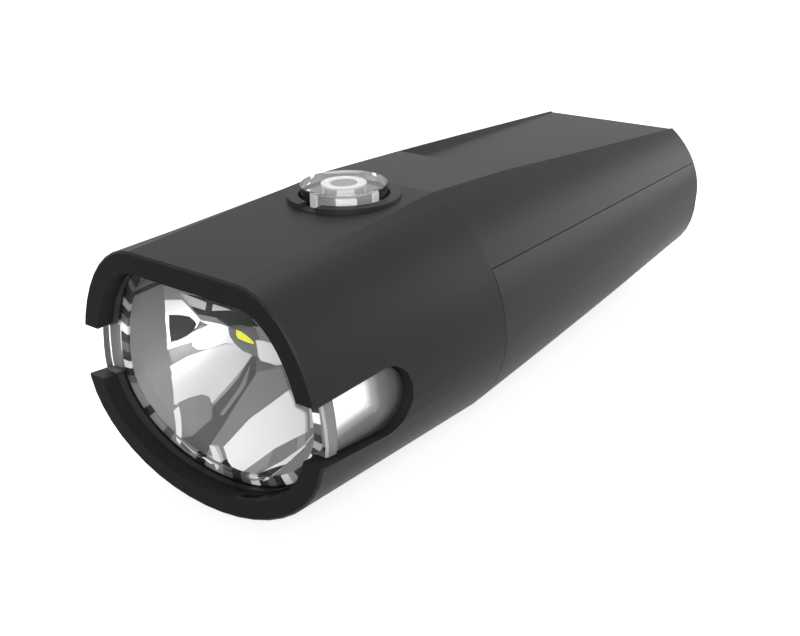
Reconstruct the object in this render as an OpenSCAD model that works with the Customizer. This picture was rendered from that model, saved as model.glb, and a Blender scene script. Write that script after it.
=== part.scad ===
// Slim bicycle headlight with a built-in rechargeable cell.
// The body is drawn with the front rim at y = 0, the beam along -Y and z = 0 at the widest height,
// and place() then moves it so that the origin is below the middle, on the surface it stands on.

/* [Body] */
// Overall length, from the front rim to the tail
body_l = 101.2; // [96:0.1:108]
// Thickness of the outer wall
wall = 2.6; // [2.2:0.1:2.9]
// Size of the small bevel round the front and tail edges
edge = 0.25; // [0.15:0.05:0.6]

/* [Front rim] */
// Width of the front
front_w = 38; // [37:0.1:40]
// Height of the flat top above the widest level, at the front
front_top = 16.7; // [16.4:0.1:17.2]
// Depth of the round belly below the widest level, at the front
front_belly = 13.45; // [12.8:0.05:14.2]
// Width of the flat stretch of the top edge, at the front
front_flat = 16.7; // [14:0.1:19]
// Roundness of the two upper corners: 2 is an ellipse, more is squarer
corner_power = 1.95; // [1.8:0.01:2.4]

/* [Shoulder] */
// Distance from the front to the widest section
shoulder_y = 34.4; // [32:0.1:37]
// Width of the widest section
shoulder_w = 39.6; // [38.6:0.1:42]
// Height of the oval that the top is cut from, at the widest section
shoulder_h = 19.5; // [19:0.05:21]
// Height of the flat top, at the widest section
shoulder_top = 17.55; // [17:0.05:17.8]
// Depth of the belly, at the widest section
shoulder_belly = 16.05; // [15.6:0.05:17]
// Distance from the front to the bend in the top
bend_y = 50.8; // [50:0.1:55]
// Height of the top at that bend
bend_top = 16.5; // [15.9:0.05:16.6]

// Depth of the flat sole that the light stands on, cut from the rear belly
sole = 0.3; // [0.2:0.05:0.5]

/* [Tail] */
// Width of the tail
tail_w = 34.7; // [34:0.1:37]
// How far the tail's widest level lies above that of the front
tail_rise = 1.8; // [1.2:0.1:2.2]
// Height of the oval that the top is cut from, at the tail
tail_h = 14.3; // [14:0.1:15.6]
// Height of the flat top, at the tail
tail_top = 12.2; // [12:0.1:13]
// Depth of the belly below the tail's own widest level
tail_belly = 13.1; // [12.8:0.1:14]
// Squareness of the tail's lower half: 2 is an ellipse
tail_power = 2.73; // [2.2:0.01:3.2]
// Depth of the recessed panel at the bend
panel_deep = 1.3; // [0.8:0.1:1.5]
// Depth of the recessed panel at the tail
panel_shallow = 0.15; // [0.1:0.05:0.8]
// Width of the ridge left beside the panel
ridge = 0.2; // [0.1:0.05:0.6]

/* [Seam] */
// Height of the seam between housing and tail shell, at the widest section
seam_front = 9.2; // [7.5:0.1:10]
// Height of that seam at the tail
seam_rear = 6.9; // [6:0.1:8]
// Gap that shows as the seam
seam_gap = 0.1; // [0.05:0.01:0.2]

/* [Side slots] */
// Height of the slot's upper edge above the widest level
slot_top = 5.4; // [4.8:0.05:6]
// Radius of the slot's round rear end
slot_r = 4.05; // [3.6:0.05:4.3]
// Distance from the front to the slot's rear end
slot_l = 15.4; // [13:0.1:16]
// Depth of the slot's lower edge below the widest level, at the front
slot_drop = 1.25; // [0.6:0.05:1.8]

/* [Lens and reflector] */
// Distance from the front rim back to the lens
lens_y = 1.9; // [1.4:0.1:2.6]
// Thickness of the lens face
lens_t = 1.6; // [1.2:0.1:1.8]
// Thickness of the lens's side wall
skirt_t = 1.2; // [0.9:0.1:1.4]
// Depth of the lens's side windows below the housing's surface
window_in = 1; // [0.6:0.05:1.6]
// Gap between a side window and the edge of its slot
window_gap = 0.25; // [0.15:0.05:0.4]
// Gap round a piece that drops into the housing
drop_gap = 0.15; // [0.1:0.01:0.3]
// Width of the locating notch in the lower lip
key_w = 3.1; // [2.4:0.1:4]
// Distance of that notch to the side of the middle
key_x = 6.9; // [5:0.1:8]
// Thickness of the lens seal
seal_t = 0.8; // [0.6:0.1:1.2]
// Distance from the front rim back to the reflector's rim
mirror_y = 4; // [3.9:0.1:4.6]
// Wall of the reflector
mirror_t = 0.9; // [0.7:0.1:1.1]
// Focal length of the reflector's curve
focal = 6; // [5.6:0.1:6.4]
// Distance from the front rim back to the emitter
led_y = 13.5; // [13:0.1:14]
// Height of the emitter above the widest level
led_z = 9.4; // [9:0.1:9.6]
// Number of petals across the reflector
petals = 5; // [3:2:7]
// Step in depth between neighbouring petals
petal_step = 0.3; // [0.1:0.05:0.5]

/* [Button] */
// Distance from the front rim to the middle of the button
button_y = 27.5; // [27:0.1:28.5]
// Diameter of the clear cap
cap_d = 10.9; // [10:0.1:11.4]
// Height of the cap's top above the widest level
cap_top = 19.15; // [18.6:0.05:19.8]
// Outer diameter of the white ring
core_d = 5.75; // [5:0.05:6.4]
// Diameter of the pin in the ring
plunger_d = 3.3; // [2.8:0.1:3.6]
// Depth of the pin's top below the cap's
plunger_sink = 0.7; // [0.4:0.1:1]
// Diameter of the raised collar
collar_d = 14.3; // [14:0.1:15.4]
// Height of the collar's top at its front
collar_top = 17.95; // [17.7:0.05:18.2]
// How far the collar stands out at its back
collar_back = 0.1; // [0.05:0.05:0.3]
// Width of the notch in the front of the collar
notch_w = 2.6; // [2:0.1:3.2]
// How far the button goes down
button_travel = 0.6; // [0.3:0.05:0.7]
// Running gap round the cap
cap_gap = 0.3; // [0.2:0.05:0.35]
// Thickness of the flange that keeps the cap in
flange_t = 1; // [0.8:0.1:1.1]
// How far the flange stands out beyond the cap
flange_out = 1.1; // [0.8:0.1:1.3]

/* [Battery] */
// Diameter of the cell
cell_d = 18.3; // [17.8:0.1:18.5]
// Length of the cell's can
cell_l = 49; // [46:0.5:50]
// Distance from the front rim to the cell's can
cell_y = 34; // [33.8:0.1:35]
// Wall of the cradle
cradle_t = 1; // [0.8:0.1:1.1]
// Thickness of the cradle's end walls
cradle_end = 1.2; // [1:0.1:1.6]

/* [Boards] */
// Thickness of the boards
board_t = 1.2; // [0.8:0.1:1.6]
// Width of the main board
board_w = 18; // [17:0.5:20]
// Length of the main board
board_l = 36; // [34:0.5:40]
// Thickness of the heat sink's plate
sink_t = 1.6; // [1.2:0.1:1.8]

/* [Charging port] */
// Height of the socket's middle above the widest level
port_z = -1.2; // [-2:0.1:0]
// Width of the charging socket
socket_w = 8.9; // [8.4:0.1:9.1]
// Height of the charging socket
socket_h = 3.2; // [3:0.1:3.4]
// Length of the charging socket
socket_l = 7.3; // [6.8:0.1:7.8]
// Width of the port cover
cover_w = 13.6; // [12.6:0.1:14]
// Height of the port cover below its pin
cover_h = 7; // [6.6:0.1:7.4]
// Thickness of the port cover
cover_t = 1.5; // [1.3:0.1:1.7]
// Diameter of the cover's pin
pin_d = 1; // [0.8:0.05:1.1]
// Running gap between the pin and the cover
pin_gap = 0.05; // [0.02:0.01:0.08]

/* [Bracket slot] */
// Width of the slot's mouth
mouth_w = 10; // [8:0.5:11]
// Width of the slot behind its lips
head_w = 14; // [13:0.5:15]
// Thickness of the lips
lip_t = 1.2; // [1:0.1:1.4]
// Height of the space behind the lips
head_t = 1.6; // [1.3:0.1:1.8]
// Length of the lipped stretch
slide_l = 19; // [16:0.5:20]
// Length of the open pocket behind it, where the bracket drops in
pocket_l = 9; // [8:0.5:10]
// Distance from the front rim to the front of the slot
slide_y = 39; // [38:0.5:40]

/* [Screws] */
// Diameter of the case screws' shanks
screw_d = 2; // [1.8:0.1:2.2]
// Diameter of their heads
head_d = 3.6; // [3.2:0.1:3.8]
// Diameter of the screw posts
post_d = 4.2; // [4:0.1:4.4]
// Distance of the front posts in from the body's side
post_in = 7.05; // [6.9:0.05:7.2]
// Distance of the rear posts in from the body's side
post_in_rear = 7.2; // [6.9:0.05:7.4]

/* [Hidden] */
$fn = 64;
arc_n = 11;
low_n = 22;
far = 60;
eps = 0.01;

function mix(a, b, t) = a + (b - a) * t;

// Where a length along the rear body lies, from 0 at the widest section to 1 at the tail
function rear(y) = (y - shoulder_y) / (body_l - shoulder_y);

// Height of the flat top at a distance from the front
function top_z(y) = y < shoulder_y ? mix(front_top, shoulder_top, y / shoulder_y)
    : y < bend_y ? mix(shoulder_top, bend_top, (y - shoulder_y) / (bend_y - shoulder_y))
    : mix(bend_top, tail_top, (y - bend_y) / (body_l - bend_y));

// Height of the belly's lowest line
function belly_z(y) = y < shoulder_y ? -mix(front_belly, shoulder_belly, y / shoulder_y)
    : mix(0, tail_rise, rear(y)) - mix(shoulder_belly, tail_belly, rear(y));

// Half the width at the widest level
function side_x(y) = y < shoulder_y ? mix(front_w, shoulder_w, y / shoulder_y) / 2
    : mix(shoulder_w, tail_w, rear(y)) / 2;

function seam_z(y) = mix(seam_front, seam_rear, rear(y));

// A closed outline: right upper arc, left upper arc, then the lower half, all as superellipses
function outline(a, flat, h, up, turn, belly, low, mid) = concat(
    [for (i = [0:arc_n]) let (t = turn * i / arc_n)
        [flat + (a - flat) * pow(cos(t), 2 / up), mid + h * pow(sin(t), 2 / up)]],
    [for (i = [arc_n:-1:0]) let (t = turn * i / arc_n)
        [-flat - (a - flat) * pow(cos(t), 2 / up), mid + h * pow(sin(t), 2 / up)]],
    [for (i = [1:low_n - 1]) let (t = 180 * i / low_n, c = cos(t))
        [-a * sign(c) * pow(abs(c), 2 / low), mid - belly * pow(sin(t), 2 / low)]]);

function front_section(w) = outline(front_w / 2 - w, front_flat / 2, front_top - w, corner_power, 90,
    front_belly - w, 2, 0);

// A rear section is an oval whose crown is cut off flat
function rear_section(y, w) =
    let (k = rear(y), h = mix(shoulder_h, tail_h, k) - w, mid = mix(0, tail_rise, k))
    outline(side_x(y) - w, 0, h, 2, asin((top_z(y) - w - mid) / h),
        mix(shoulder_belly, tail_belly, k) - w, mix(2, tail_power, k), mid);

function section(y, w) = y < shoulder_y
    ? let (f = front_section(w), s = rear_section(shoulder_y, w), k = y / shoulder_y)
        [for (i = [0:len(f) - 1]) mix(f[i], s[i], k)]
    : rear_section(y, w);

// Half the width of the flat top of the rear body
function crest_x(y) = rear_section(y, 0)[arc_n][0];

// A solid through sections: each stop is a distance from the front and an inset from the outside
module loft(stops) {
    rings = [for (s = stops) [for (p = section(s[0], s[1])) [p[0], s[0], p[1]]]];
    skin(rings);
}

module skin(rings) {
    m = len(rings[0]);
    n = len(rings);
    polyhedron([for (r = rings) each r], concat(
        [[for (i = [m - 1:-1:0]) i]],
        [for (k = [0:n - 2], i = [0:m - 1]) let (a = k * m + i, b = k * m + (i + 1) % m) each
            [[a, b, b + m], [a, b + m, a + m]]],
        [[for (i = [0:m - 1]) (n - 1) * m + i]]));
}

// Distances from the front at which the rear body has a section
rear_stops = [shoulder_y, mix(shoulder_y, bend_y, 0.5), bend_y,
    for (k = [1:3]) mix(bend_y, body_l, k / 4)];

// A flat outline given as [distance from the front, height], spread sideways
module side_prism(points, w) {
    rotate([90, 0, 90]) linear_extrude(w, center = true) polygon(points);
}

module post(x, y, low, high, d) {
    translate([x, y, low]) cylinder(h = high - low, d = d);
}

// A cylinder that lies along the body
module rod(y, l, d, x = 0, z = 0) {
    translate([x, y, z]) rotate([-90, 0, 0]) cylinder(h = l, d = d);
}

module slab(low, high) {
    translate(low) cube(high - low);
}

module mirrored() {
    children();
    mirror([1, 0, 0]) children();
}

module place() {
    translate([0, -body_l / 2, -sole_z]) children();
}

sole_tilt = atan2(belly_z(body_l) - belly_z(shoulder_y), body_l - shoulder_y);
sleeve_slope = (shoulder_belly - front_belly) / shoulder_y;
sole_y = shoulder_y - sole / (sleeve_slope + tan(sole_tilt));
sole_z = belly_z(sole_y);                    // height of the sole's front edge, the lowest line
rim_y = slot_l + 1.4;                        // where the lens's side wall ends
rib_y = rim_y + seal_t;                      // front of the rib that the lens seal lies on
rib_t = 1.6;                                 // length of that rib
rib_in = 1.5;                                // how far the rib stands in from the wall
lens_in = wall + drop_gap;                   // inset of the lens's outside
mirror_in = lens_in + skirt_t + drop_gap;    // inset of the reflector's outside
sink_y = led_y + focal + mirror_t + 2;       // front of the heat sink's plate
sink_gap = 0.3;                              // gap between the heat sink and the housing

cell_end = cell_y + cell_l;
loose = 0.15;                                // gap round the cell and under its cradle
spring_l = 1.6;                              // room for the negative contact's spring
cradle_r = cell_d / 2 + loose + cradle_t;
cradle_rear = cell_end + spring_l + cradle_end;
cell_z = belly_z(cradle_rear) + wall + loose + cradle_r;
board_z = cell_z + cell_d / 2 + 2 * loose;   // underside of the main board
board_y = sink_y + sink_t + 0.6;
board_top = board_z + board_t;

wall_under = top_z(button_y) - wall;         // inside of the top wall at the button
flange_gap = 0.25;                           // gap between the flange and the wall above it
flange_top = wall_under - flange_gap;
flange_low = flange_top - flange_t;
switch_h = 1.3;                              // height of the switch's body
switch_w = 6;                                // width of the switch's body
stem_d = 2.6;                                // diameter of the switch's stem
press_gap = 0.05;                            // rest gap between plunger and stem
stem_top = board_top + switch_h + button_travel + 0.2;
stem_low = stem_top - button_travel - 0.6;

tail_in = body_l - wall;                     // inside of the tail's end wall
pin_y = body_l - cover_t / 2;
barrel_d = cover_t;
pin_z = port_z + cover_h / 2 + 0.4;
cover_gap = 0.2;                             // gap round the closed cover
cover_low = pin_z - cover_h;
pin_reach = 1.6;                             // how far the pin goes into the shell on each side
plug_in = 1.2;                               // depth of the plug on the cover's back
plug_gap = 0.6;                              // gap between the plug and the socket's opening

post_low = -3;                               // where the housing's posts meet the tail shell's
front_post_y = shoulder_y + 4;
rear_post_y = (cradle_rear + body_l) / 2 - 1.2;
post_spots = [for (s = [-1, 1]) each [[s * (side_x(front_post_y) - post_in), front_post_y],
    [s * (side_x(rear_post_y) - post_in_rear), rear_post_y]]];
slide_roof = lip_t + head_t;                 // depth of the bracket slot
slide_wall = 1;                              // plastic left above the bracket slot
slide_end = slide_y + slide_l + pocket_l;
belly_tilt = atan2(belly_z(slide_end) - belly_z(slide_y), slide_end - slide_y);

ear_w = 23.4;                                // width of the main board's front end
ear_l = 6.4;                                 // length of that wider end
screw_spots = [for (s = [-1, 1]) each [[s * (ear_w / 2 - 2), board_y + 3],
    [s * (board_w / 2 - 2), board_y + board_l - 3]]];
screw_seat = 1.1;                            // height of the small screws' heads
small_d = 1.6;                               // shank of the small screws
small_head = 3;                              // head of the small screws

// Body, with a flat sole along the belly from the widest section to the tail
module body() {
    intersection() {
        loft(concat([[0, edge], [edge, 0]], [for (y = rear_stops) [y, 0]],
            [[body_l - edge, 0], [body_l, edge]]));
        translate([0, sole_y, sole_z]) rotate([sole_tilt, 0, 0])
            slab([-far, -2 * far, 0], [far, 2 * far, far]);
    }
}

// The hollow inside, which narrows at the rib behind the lens
module hollow() {
    loft([[-1, wall], [rib_y, wall]]);
    loft([[rib_y - 1, wall + rib_in], [rib_y + rib_t + 1, wall + rib_in]]);
    loft(concat([[rib_y + rib_t, wall]], [for (y = rear_stops) if (y < tail_in) [y, wall]],
        [[tail_in, wall]]));
}

// All of the body that belongs to the tail shell, down to its own edge
module tail_zone(gap) {
    side_prism([[shoulder_y + gap, -far], [shoulder_y + gap, seam_z(shoulder_y) - gap],
        [body_l + far, seam_z(body_l + far) - gap], [body_l + far, -far]], 2 * far);
}

// Outline of a side slot: straight edges that run into a round end
module slots(gap) {
    r = slot_r - gap;
    c = [slot_l - slot_r, slot_top - slot_r];
    p = [-1, gap - slot_drop];
    d = p - c;
    a = atan2(d[1], d[0]) + acos(r / norm(d));
    rotate([90, 0, 90]) linear_extrude(2 * far, center = true) {
        translate(c) circle(r);
        polygon([p, [-1, slot_top - gap], [c[0], slot_top - gap], c, c + r * [cos(a), sin(a)]]);
    }
}

// The shallow panel sunk into the top of the tail, with sloping sides
module panel() {
    function deep(y) = mix(panel_deep, panel_shallow, (y - bend_y) / (body_l - bend_y));
    skin([for (y = [for (s = rear_stops) if (s >= bend_y) s, body_l + 1])
        let (d = deep(y), x = crest_x(y) - ridge, z = top_z(y))
        [[x + 2, y, z + 2], [-x - 2, y, z + 2], [d - x, y, z - d], [x - d, y, z - d]]]);
}

module collar() {
    low = top_z(button_y) - wall / 2;
    front = button_y - collar_d / 2;
    back = button_y + collar_d / 2;
    intersection() {
        post(0, button_y, low, collar_top + 1, collar_d);
        side_prism([[front - 1, low], [front - 1, collar_top], [front, collar_top],
            [back + 2, top_z(shoulder_y) + collar_back], [back + 2, low]], 2 * collar_d);
    }
}

module housing() {
    color([0.16, 0.16, 0.17]) place() difference() {
        union() {
            difference() {
                union() {
                    body();
                    collar();
                }
                hollow();
            }
            intersection() {
                loft([for (y = rear_stops) [y, wall / 2], [body_l - wall / 2, wall / 2]]);
                for (p = post_spots) post(p[0], p[1], post_low, far, post_d);
            }
            intersection() {
                loft([[rib_y, wall / 2], for (y = rear_stops) [y, wall / 2]]);
                for (p = screw_spots) post(p[0], p[1], board_top, far, small_head);
            }
        }
        tail_zone_cut();
        slots_cut();
        panel();
        slab([key_x - key_w / 2, 0.7, wall / 2 + 1.1 - front_belly], [key_x + key_w / 2, lens_y, 0]);
        post(0, button_y, board_top, far, cap_d + 2 * cap_gap);
        slab([-notch_w / 2, button_y - collar_d, top_z(button_y) + eps],
            [notch_w / 2, button_y - cap_d / 2, far]);
        for (p = post_spots) post(p[0], p[1], post_low - 1, post_low + 8, screw_d);
        for (p = screw_spots) post(p[0], p[1], board_top - 1, board_top + 1.8, small_d);
    }
}

// The tail shell's zone, less the posts that reach down from the top
module tail_zone_cut() {
    difference() {
        tail_zone(0);
        for (p = post_spots) post(p[0], p[1], post_low, far, post_d + eps);
    }
}

module slots_cut() {
    intersection() {
        slots(0);
        slab([-far, -far, -far], [far, slot_l + 1, far]);
    }
}

// A block that follows the belly, from the outside inwards
module belly_block(w, y0, y1, low, high) {
    translate([0, slide_y, belly_z(slide_y)]) rotate([belly_tilt, 0, 0])
        slab([-w / 2, y0 - slide_y, low], [w / 2, y1 - slide_y, high]);
}

module tail_shell() {
    color([0.17, 0.17, 0.18]) place() difference() {
        union() {
            intersection() {
                difference() {
                    body();
                    hollow();
                }
                tail_zone(seam_gap);
            }
            intersection() {
                loft([for (y = rear_stops) [y, wall / 2], [body_l - wall / 2, wall / 2]]);
                union() {
                    for (p = post_spots)
                        post(p[0], p[1], -far, post_low - seam_gap, post_d + 1.4);
                    belly_block(head_w + 3, slide_y - 1.5, slide_end + 1.5, 0, slide_roof + slide_wall);
                }
                loft([[shoulder_y + seam_gap, 0], [body_l, 0]]);
            }
        }
        belly_block(mouth_w, slide_y, slide_end, -far, slide_roof);
        belly_block(head_w, slide_y, slide_end, lip_t, slide_roof);
        belly_block(head_w, slide_end - pocket_l, slide_end, -far, slide_roof);
        for (p = post_spots) {
            post(p[0], p[1], post_low - seam_gap, far, post_d + 0.4);
            post(p[0], p[1], -far, post_low + 1, screw_d + 0.3);
            post(p[0], p[1], -far, post_low - 3, head_d + 0.5);
        }
        port_recess();
    }
}

// The opening for the charging socket and the recess for its cover
module port_recess() {
    slab([-socket_w / 2 - 0.3, tail_in - 1, port_z - socket_h / 2 - plug_gap + 0.2],
        [socket_w / 2 + 0.3, body_l + 1, port_z + socket_h / 2 + plug_gap - 0.2]);
    slab([-cover_w / 2 - cover_gap, body_l - cover_t - cover_gap, cover_low - cover_gap],
        [cover_w / 2 + cover_gap, body_l + 1, pin_z + barrel_d / 2 + 2 * cover_gap]);
    translate([0, pin_y, pin_z]) rotate([0, 90, 0])
        cylinder(h = cover_w + 2 * cover_gap + 2 * pin_reach, d = pin_d + 0.04, center = true);
}

module shell_seal() {
    seal_w = 0.9;
    seal_h = 1.6;
    color([0.30, 0.30, 0.32]) place() difference() {
        intersection() {
            side_prism([[shoulder_y, seam_z(shoulder_y) - seal_h], [shoulder_y, seam_z(shoulder_y) + seal_h],
                [body_l, seam_z(body_l) + seal_h], [body_l, seam_z(body_l) - seal_h]], 2 * far);
            seal_loft(wall + 0.05, tail_in - 0.05);
        }
        seal_loft(wall + 0.05 + seal_w, tail_in - 0.05 - seal_w);
        for (p = post_spots) post(p[0], p[1], -far, far, post_d + 0.2);
    }
}

module seal_loft(w, last) {
    loft(concat([[shoulder_y - 1, w]], [for (y = rear_stops) if (y < last) [y, w]], [[last, w]]));
}

module case_screws() {
    color([0.65, 0.65, 0.68]) place() for (p = post_spots) {
        post(p[0], p[1], post_low - 5, post_low - 3, head_d);
        post(p[0], p[1], post_low - 3, post_low + 7, screw_d - 0.1);
    }
}

// Optics

module lens() {
    color([0.90, 0.93, 0.95, 0.35]) place() difference() {
        union() {
            loft([[lens_y, lens_in + edge], [lens_y + edge, lens_in], [rim_y, lens_in]]);
            intersection() {
                slots(window_gap);
                loft([[lens_y, window_in + edge], [lens_y + edge, window_in], [slot_l + 1, window_in]]);
            }
        }
        loft([[lens_y + lens_t, lens_in + skirt_t], [rim_y + 1, lens_in + skirt_t]]);
    }
}

module lens_seal() {
    color([0.12, 0.12, 0.12]) place() difference() {
        loft([[rim_y + 0.02, lens_in], [rib_y - 0.02, lens_in]]);
        loft([[rim_y - 1, lens_in + skirt_t], [rib_y + 1, lens_in + skirt_t]]);
    }
}

// Everything in front of a parabolic dish whose focus is the emitter
module dish(back) {
    steps = 14;
    r_max = 26;
    vertex = led_y + focal + back;
    translate([0, 0, led_z]) rotate([-90, 0, 0]) rotate_extrude($fn = 64)
        polygon(concat([[0, -1]], [[r_max, -1]],
            [for (i = [steps:-1:0]) let (r = r_max * i / steps) [r, max(0, vertex - r * r / (4 * focal))]]));
}

// Petals fan out from the emitter, every second one a step deeper
module petal_dish() {
    spread = 180 / petals;
    dish(0);
    intersection() {
        dish(petal_step);
        translate([0, 0, led_z]) rotate([-90, 0, 0]) linear_extrude(far) {
            circle(2);
            for (i = [0:2:petals - 1]) polygon([[0, 0], far * [cos(spread * i), sin(spread * i)],
                1.4 * far * [cos(spread * (i + 0.5)), sin(spread * (i + 0.5))],
                far * [cos(spread * (i + 1)), sin(spread * (i + 1))]]);
        }
    }
}

module reflector() {
    mirror_top = led_z + 0.5;
    back = mirror_t + petal_step;
    color([0.88, 0.89, 0.90]) place() difference() {
        intersection() {
            loft([[mirror_y, mirror_in], [led_y + focal + back, mirror_in]]);
            union() {
                slab([-far, 0, -far], [far, mirror_y + 1.4, far]);
                slab([-far, 0, -far], [far, far, mirror_top]);
            }
            union() {
                dish(back);
                slab([-far, 0, -far], [far, mirror_y + 1.4, far]);
            }
        }
        intersection() {
            loft([[mirror_y - 1, mirror_in + mirror_t], [far, mirror_in + mirror_t]]);
            union() {
                petal_dish();
                slab([-far, 0, led_z], [far, mirror_y + 2, far]);
            }
        }
    }
}

led_w = 3.4;                                 // width of the emitter's ceramic body
led_t = 0.7;                                 // thickness of the ceramic body
die_t = 0.25;                                // thickness of the yellow die
led_board_t = 1;                             // thickness of the emitter's board
led_board_z = led_z + led_t + 0.1;
sink_z = led_board_z + led_board_t;
led_board_half = 6.6;
led_board_y = [mirror_y + 2.6, led_y + 6.4];

module led_die() {
    die_w = 2;
    color([0.95, 0.80, 0.10]) place()
        slab([-die_w / 2, led_y - die_w / 2, led_z - die_t], [die_w / 2, led_y + die_w / 2, led_z]);
}

module led_package() {
    color([0.92, 0.92, 0.90]) place()
        slab([-led_w / 2, led_y - led_w / 2, led_z], [led_w / 2, led_y + led_w / 2, led_board_z]);
}

led_spots = [[-4.6, led_y + 3], [4.6, led_y + 3]];

module led_board() {
    color([0.22, 0.23, 0.25]) place() difference() {
        slab([-led_board_half, led_board_y[0], led_board_z], [led_board_half, led_board_y[1], sink_z]);
        for (p = led_spots) post(p[0], p[1], led_board_z - 1, sink_z + 1, small_d + 0.2);
    }
}

module led_screws() {
    color([0.70, 0.70, 0.72]) place() for (p = led_spots) {
        post(p[0], p[1], led_board_z - 0.8, led_board_z, small_head - 0.4);
        post(p[0], p[1], led_board_z, sink_z + sink_t - 0.2, small_d - 0.1);
    }
}

module heat_sink() {
    color([0.72, 0.73, 0.75]) place() difference() {
        union() {
            slab([-8, mirror_y + 2.6, sink_z], [8, sink_y + eps, sink_z + sink_t]);
            loft([[sink_y, wall + sink_gap], [sink_y + sink_t, wall + sink_gap]]);
        }
        for (p = led_spots) post(p[0], p[1], sink_z - 1, sink_z + sink_t - 0.1, small_d);
        for (s = [-1, 1]) rod(sink_y - 1, sink_t + 2, 2.4, s * 5, board_z - 0.7);
        post(0, button_y, flange_low - 1, far, cap_d + 2 * flange_out + 3.4);
    }
}

module wire(points, d) {
    for (i = [0:len(points) - 2]) {
        v = points[i + 1] - points[i];
        translate(points[i]) rotate([0, acos(v[2] / norm(v)), atan2(v[1], v[0])])
            cylinder(h = norm(v), d = d, $fn = 16);
        if (i > 0) translate(points[i]) sphere(d = d, $fn = 16);
    }
}

module led_leads() {
    lead_z = board_z - 0.7;
    color([0.75, 0.15, 0.12]) place() for (s = [-1, 1])
        wire([[s * 5, led_board_y[1] + 0.1, lead_z], [s * 5, board_y + 1, lead_z],
            [s * 5, board_y + 1, board_z - 0.1]], 1.1);
}

// Electronics and button

module main_board() {
    color([0.10, 0.32, 0.18]) place() difference() {
        union() {
            slab([-board_w / 2, board_y, board_z], [board_w / 2, board_y + board_l, board_top]);
            slab([-ear_w / 2, board_y, board_z], [ear_w / 2, board_y + ear_l, board_top]);
        }
        for (p = screw_spots) post(p[0], p[1], board_z - 1, board_top + 1, small_d + 0.2);
    }
}

module board_parts() {
    z = board_top;
    color([0.14, 0.14, 0.15]) place() {
        slab([-3, board_y + 13, z], [3, board_y + 19, z + 2]);
        slab([-6.6, board_y + 21, z], [-2.6, board_y + 25, z + 0.9]);
        slab([1.2, board_y + 21, z], [6, board_y + 24.4, z + 0.9]);
        post(3.4, board_y + 28, z, z + 1.2, 3.6);
        slab([-5.4, board_y + 28, z], [-2.2, board_y + 29.8, z + 0.8]);
    }
}

module board_screws() {
    color([0.70, 0.70, 0.72]) place() for (p = screw_spots) {
        post(p[0], p[1], board_z - screw_seat, board_z, small_head);
        post(p[0], p[1], board_z, board_top + 1.7, small_d - 0.1);
    }
}

module tact_switch() {
    color([0.20, 0.20, 0.21]) place() difference() {
        slab([-switch_w / 2, button_y - switch_w / 2, board_top],
            [switch_w / 2, button_y + switch_w / 2, board_top + switch_h]);
        post(0, button_y, stem_low - button_travel - 0.1, far, stem_d + 0.1);
    }
}

module switch_stem() {
    color([0.10, 0.10, 0.10]) place() post(0, button_y, stem_low, stem_top, stem_d);
}

module status_leds() {
    led = 1;
    color([0.55, 0.85, 0.55]) place() for (s = [-1, 1])
        slab([s * 4.4 - led / 2, button_y - led, board_top], [s * 4.4 + led / 2, button_y + led, board_top + 0.6]);
}

module button_seal() {
    low = flange_low - 0.3;
    color([0.25, 0.25, 0.27]) place() intersection() {
        difference() {
            post(0, button_y, low, far, cap_d + 2 * flange_out + 2.8);
            post(0, button_y, low - 1, far, cap_d + 2 * flange_out + 0.6);
        }
        loft([[rib_y, wall + 0.03], [shoulder_y, wall + 0.03]]);
    }
}

module button_cap() {
    in_r = core_d / 2 + 0.03;
    r = cap_d / 2;
    bevel = 0.12;
    color([0.93, 0.95, 0.97, 0.4]) place() translate([0, button_y, 0]) rotate_extrude()
        polygon([[in_r, flange_low], [r + flange_out, flange_low], [r + flange_out, flange_top],
            [r, flange_top], [r, cap_top - bevel], [r - bevel, cap_top], [in_r, cap_top]]);
}

module button_core() {
    color([0.95, 0.95, 0.94]) place() difference() {
        post(0, button_y, flange_low, cap_top - 0.05, core_d);
        post(0, button_y, flange_low - 1, cap_top + 1, plunger_d + 0.06);
    }
}

module button_plunger() {
    color([0.55, 0.56, 0.57]) place()
        post(0, button_y, stem_top + press_gap, cap_top - plunger_sink, plunger_d);
}

// Battery

module battery_cell() {
    color([0.16, 0.30, 0.55]) place() rod(cell_y, cell_l, cell_d, 0, cell_z);
}

module cell_terminal() {
    color([0.80, 0.80, 0.80]) place() rod(cell_y - 1, 1, 6, 0, cell_z);
}

module cell_cradle() {
    y0 = cell_y - 1.6 - cradle_end;
    color([0.35, 0.36, 0.38]) place() difference() {
        rod(y0, cradle_rear - y0, 2 * cradle_r, 0, cell_z);
        rod(y0 + cradle_end, cradle_rear - y0 - 2 * cradle_end, cell_d + 2 * loose, 0, cell_z);
        slab([-far, y0 - 1, cell_z - 1], [far, cradle_rear + 1, far]);
    }
}

module front_contact() {
    color([0.82, 0.80, 0.70]) place()
        slab([-4, cell_y - 1.55, cell_z - 6], [4, cell_y - 1.05, cell_z + 4]);
}

// The negative plate with its spring: a coil that winds in to the can
module rear_contact() {
    turns = 2;
    coil_r = 3;
    wire_r = 0.25;
    steps = 24 * turns;
    plate = 0.4;
    y1 = cell_end + spring_l - plate;
    color([0.82, 0.80, 0.70]) place() {
        slab([-4, y1, cell_z - 6], [4, y1 + plate - 0.05, cell_z + 4]);
        skin([for (i = [0:steps]) let (k = i / steps, a = 360 * turns * k, r = mix(coil_r, coil_r / 2, k),
            y = mix(y1 + wire_r / 2, cell_end + wire_r + 0.05, k))
            [for (j = [5:-1:0]) let (q = r + wire_r * cos(60 * j))
                [q * cos(a), y + wire_r * sin(60 * j), cell_z + q * sin(a)]]]);
    }
}

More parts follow.
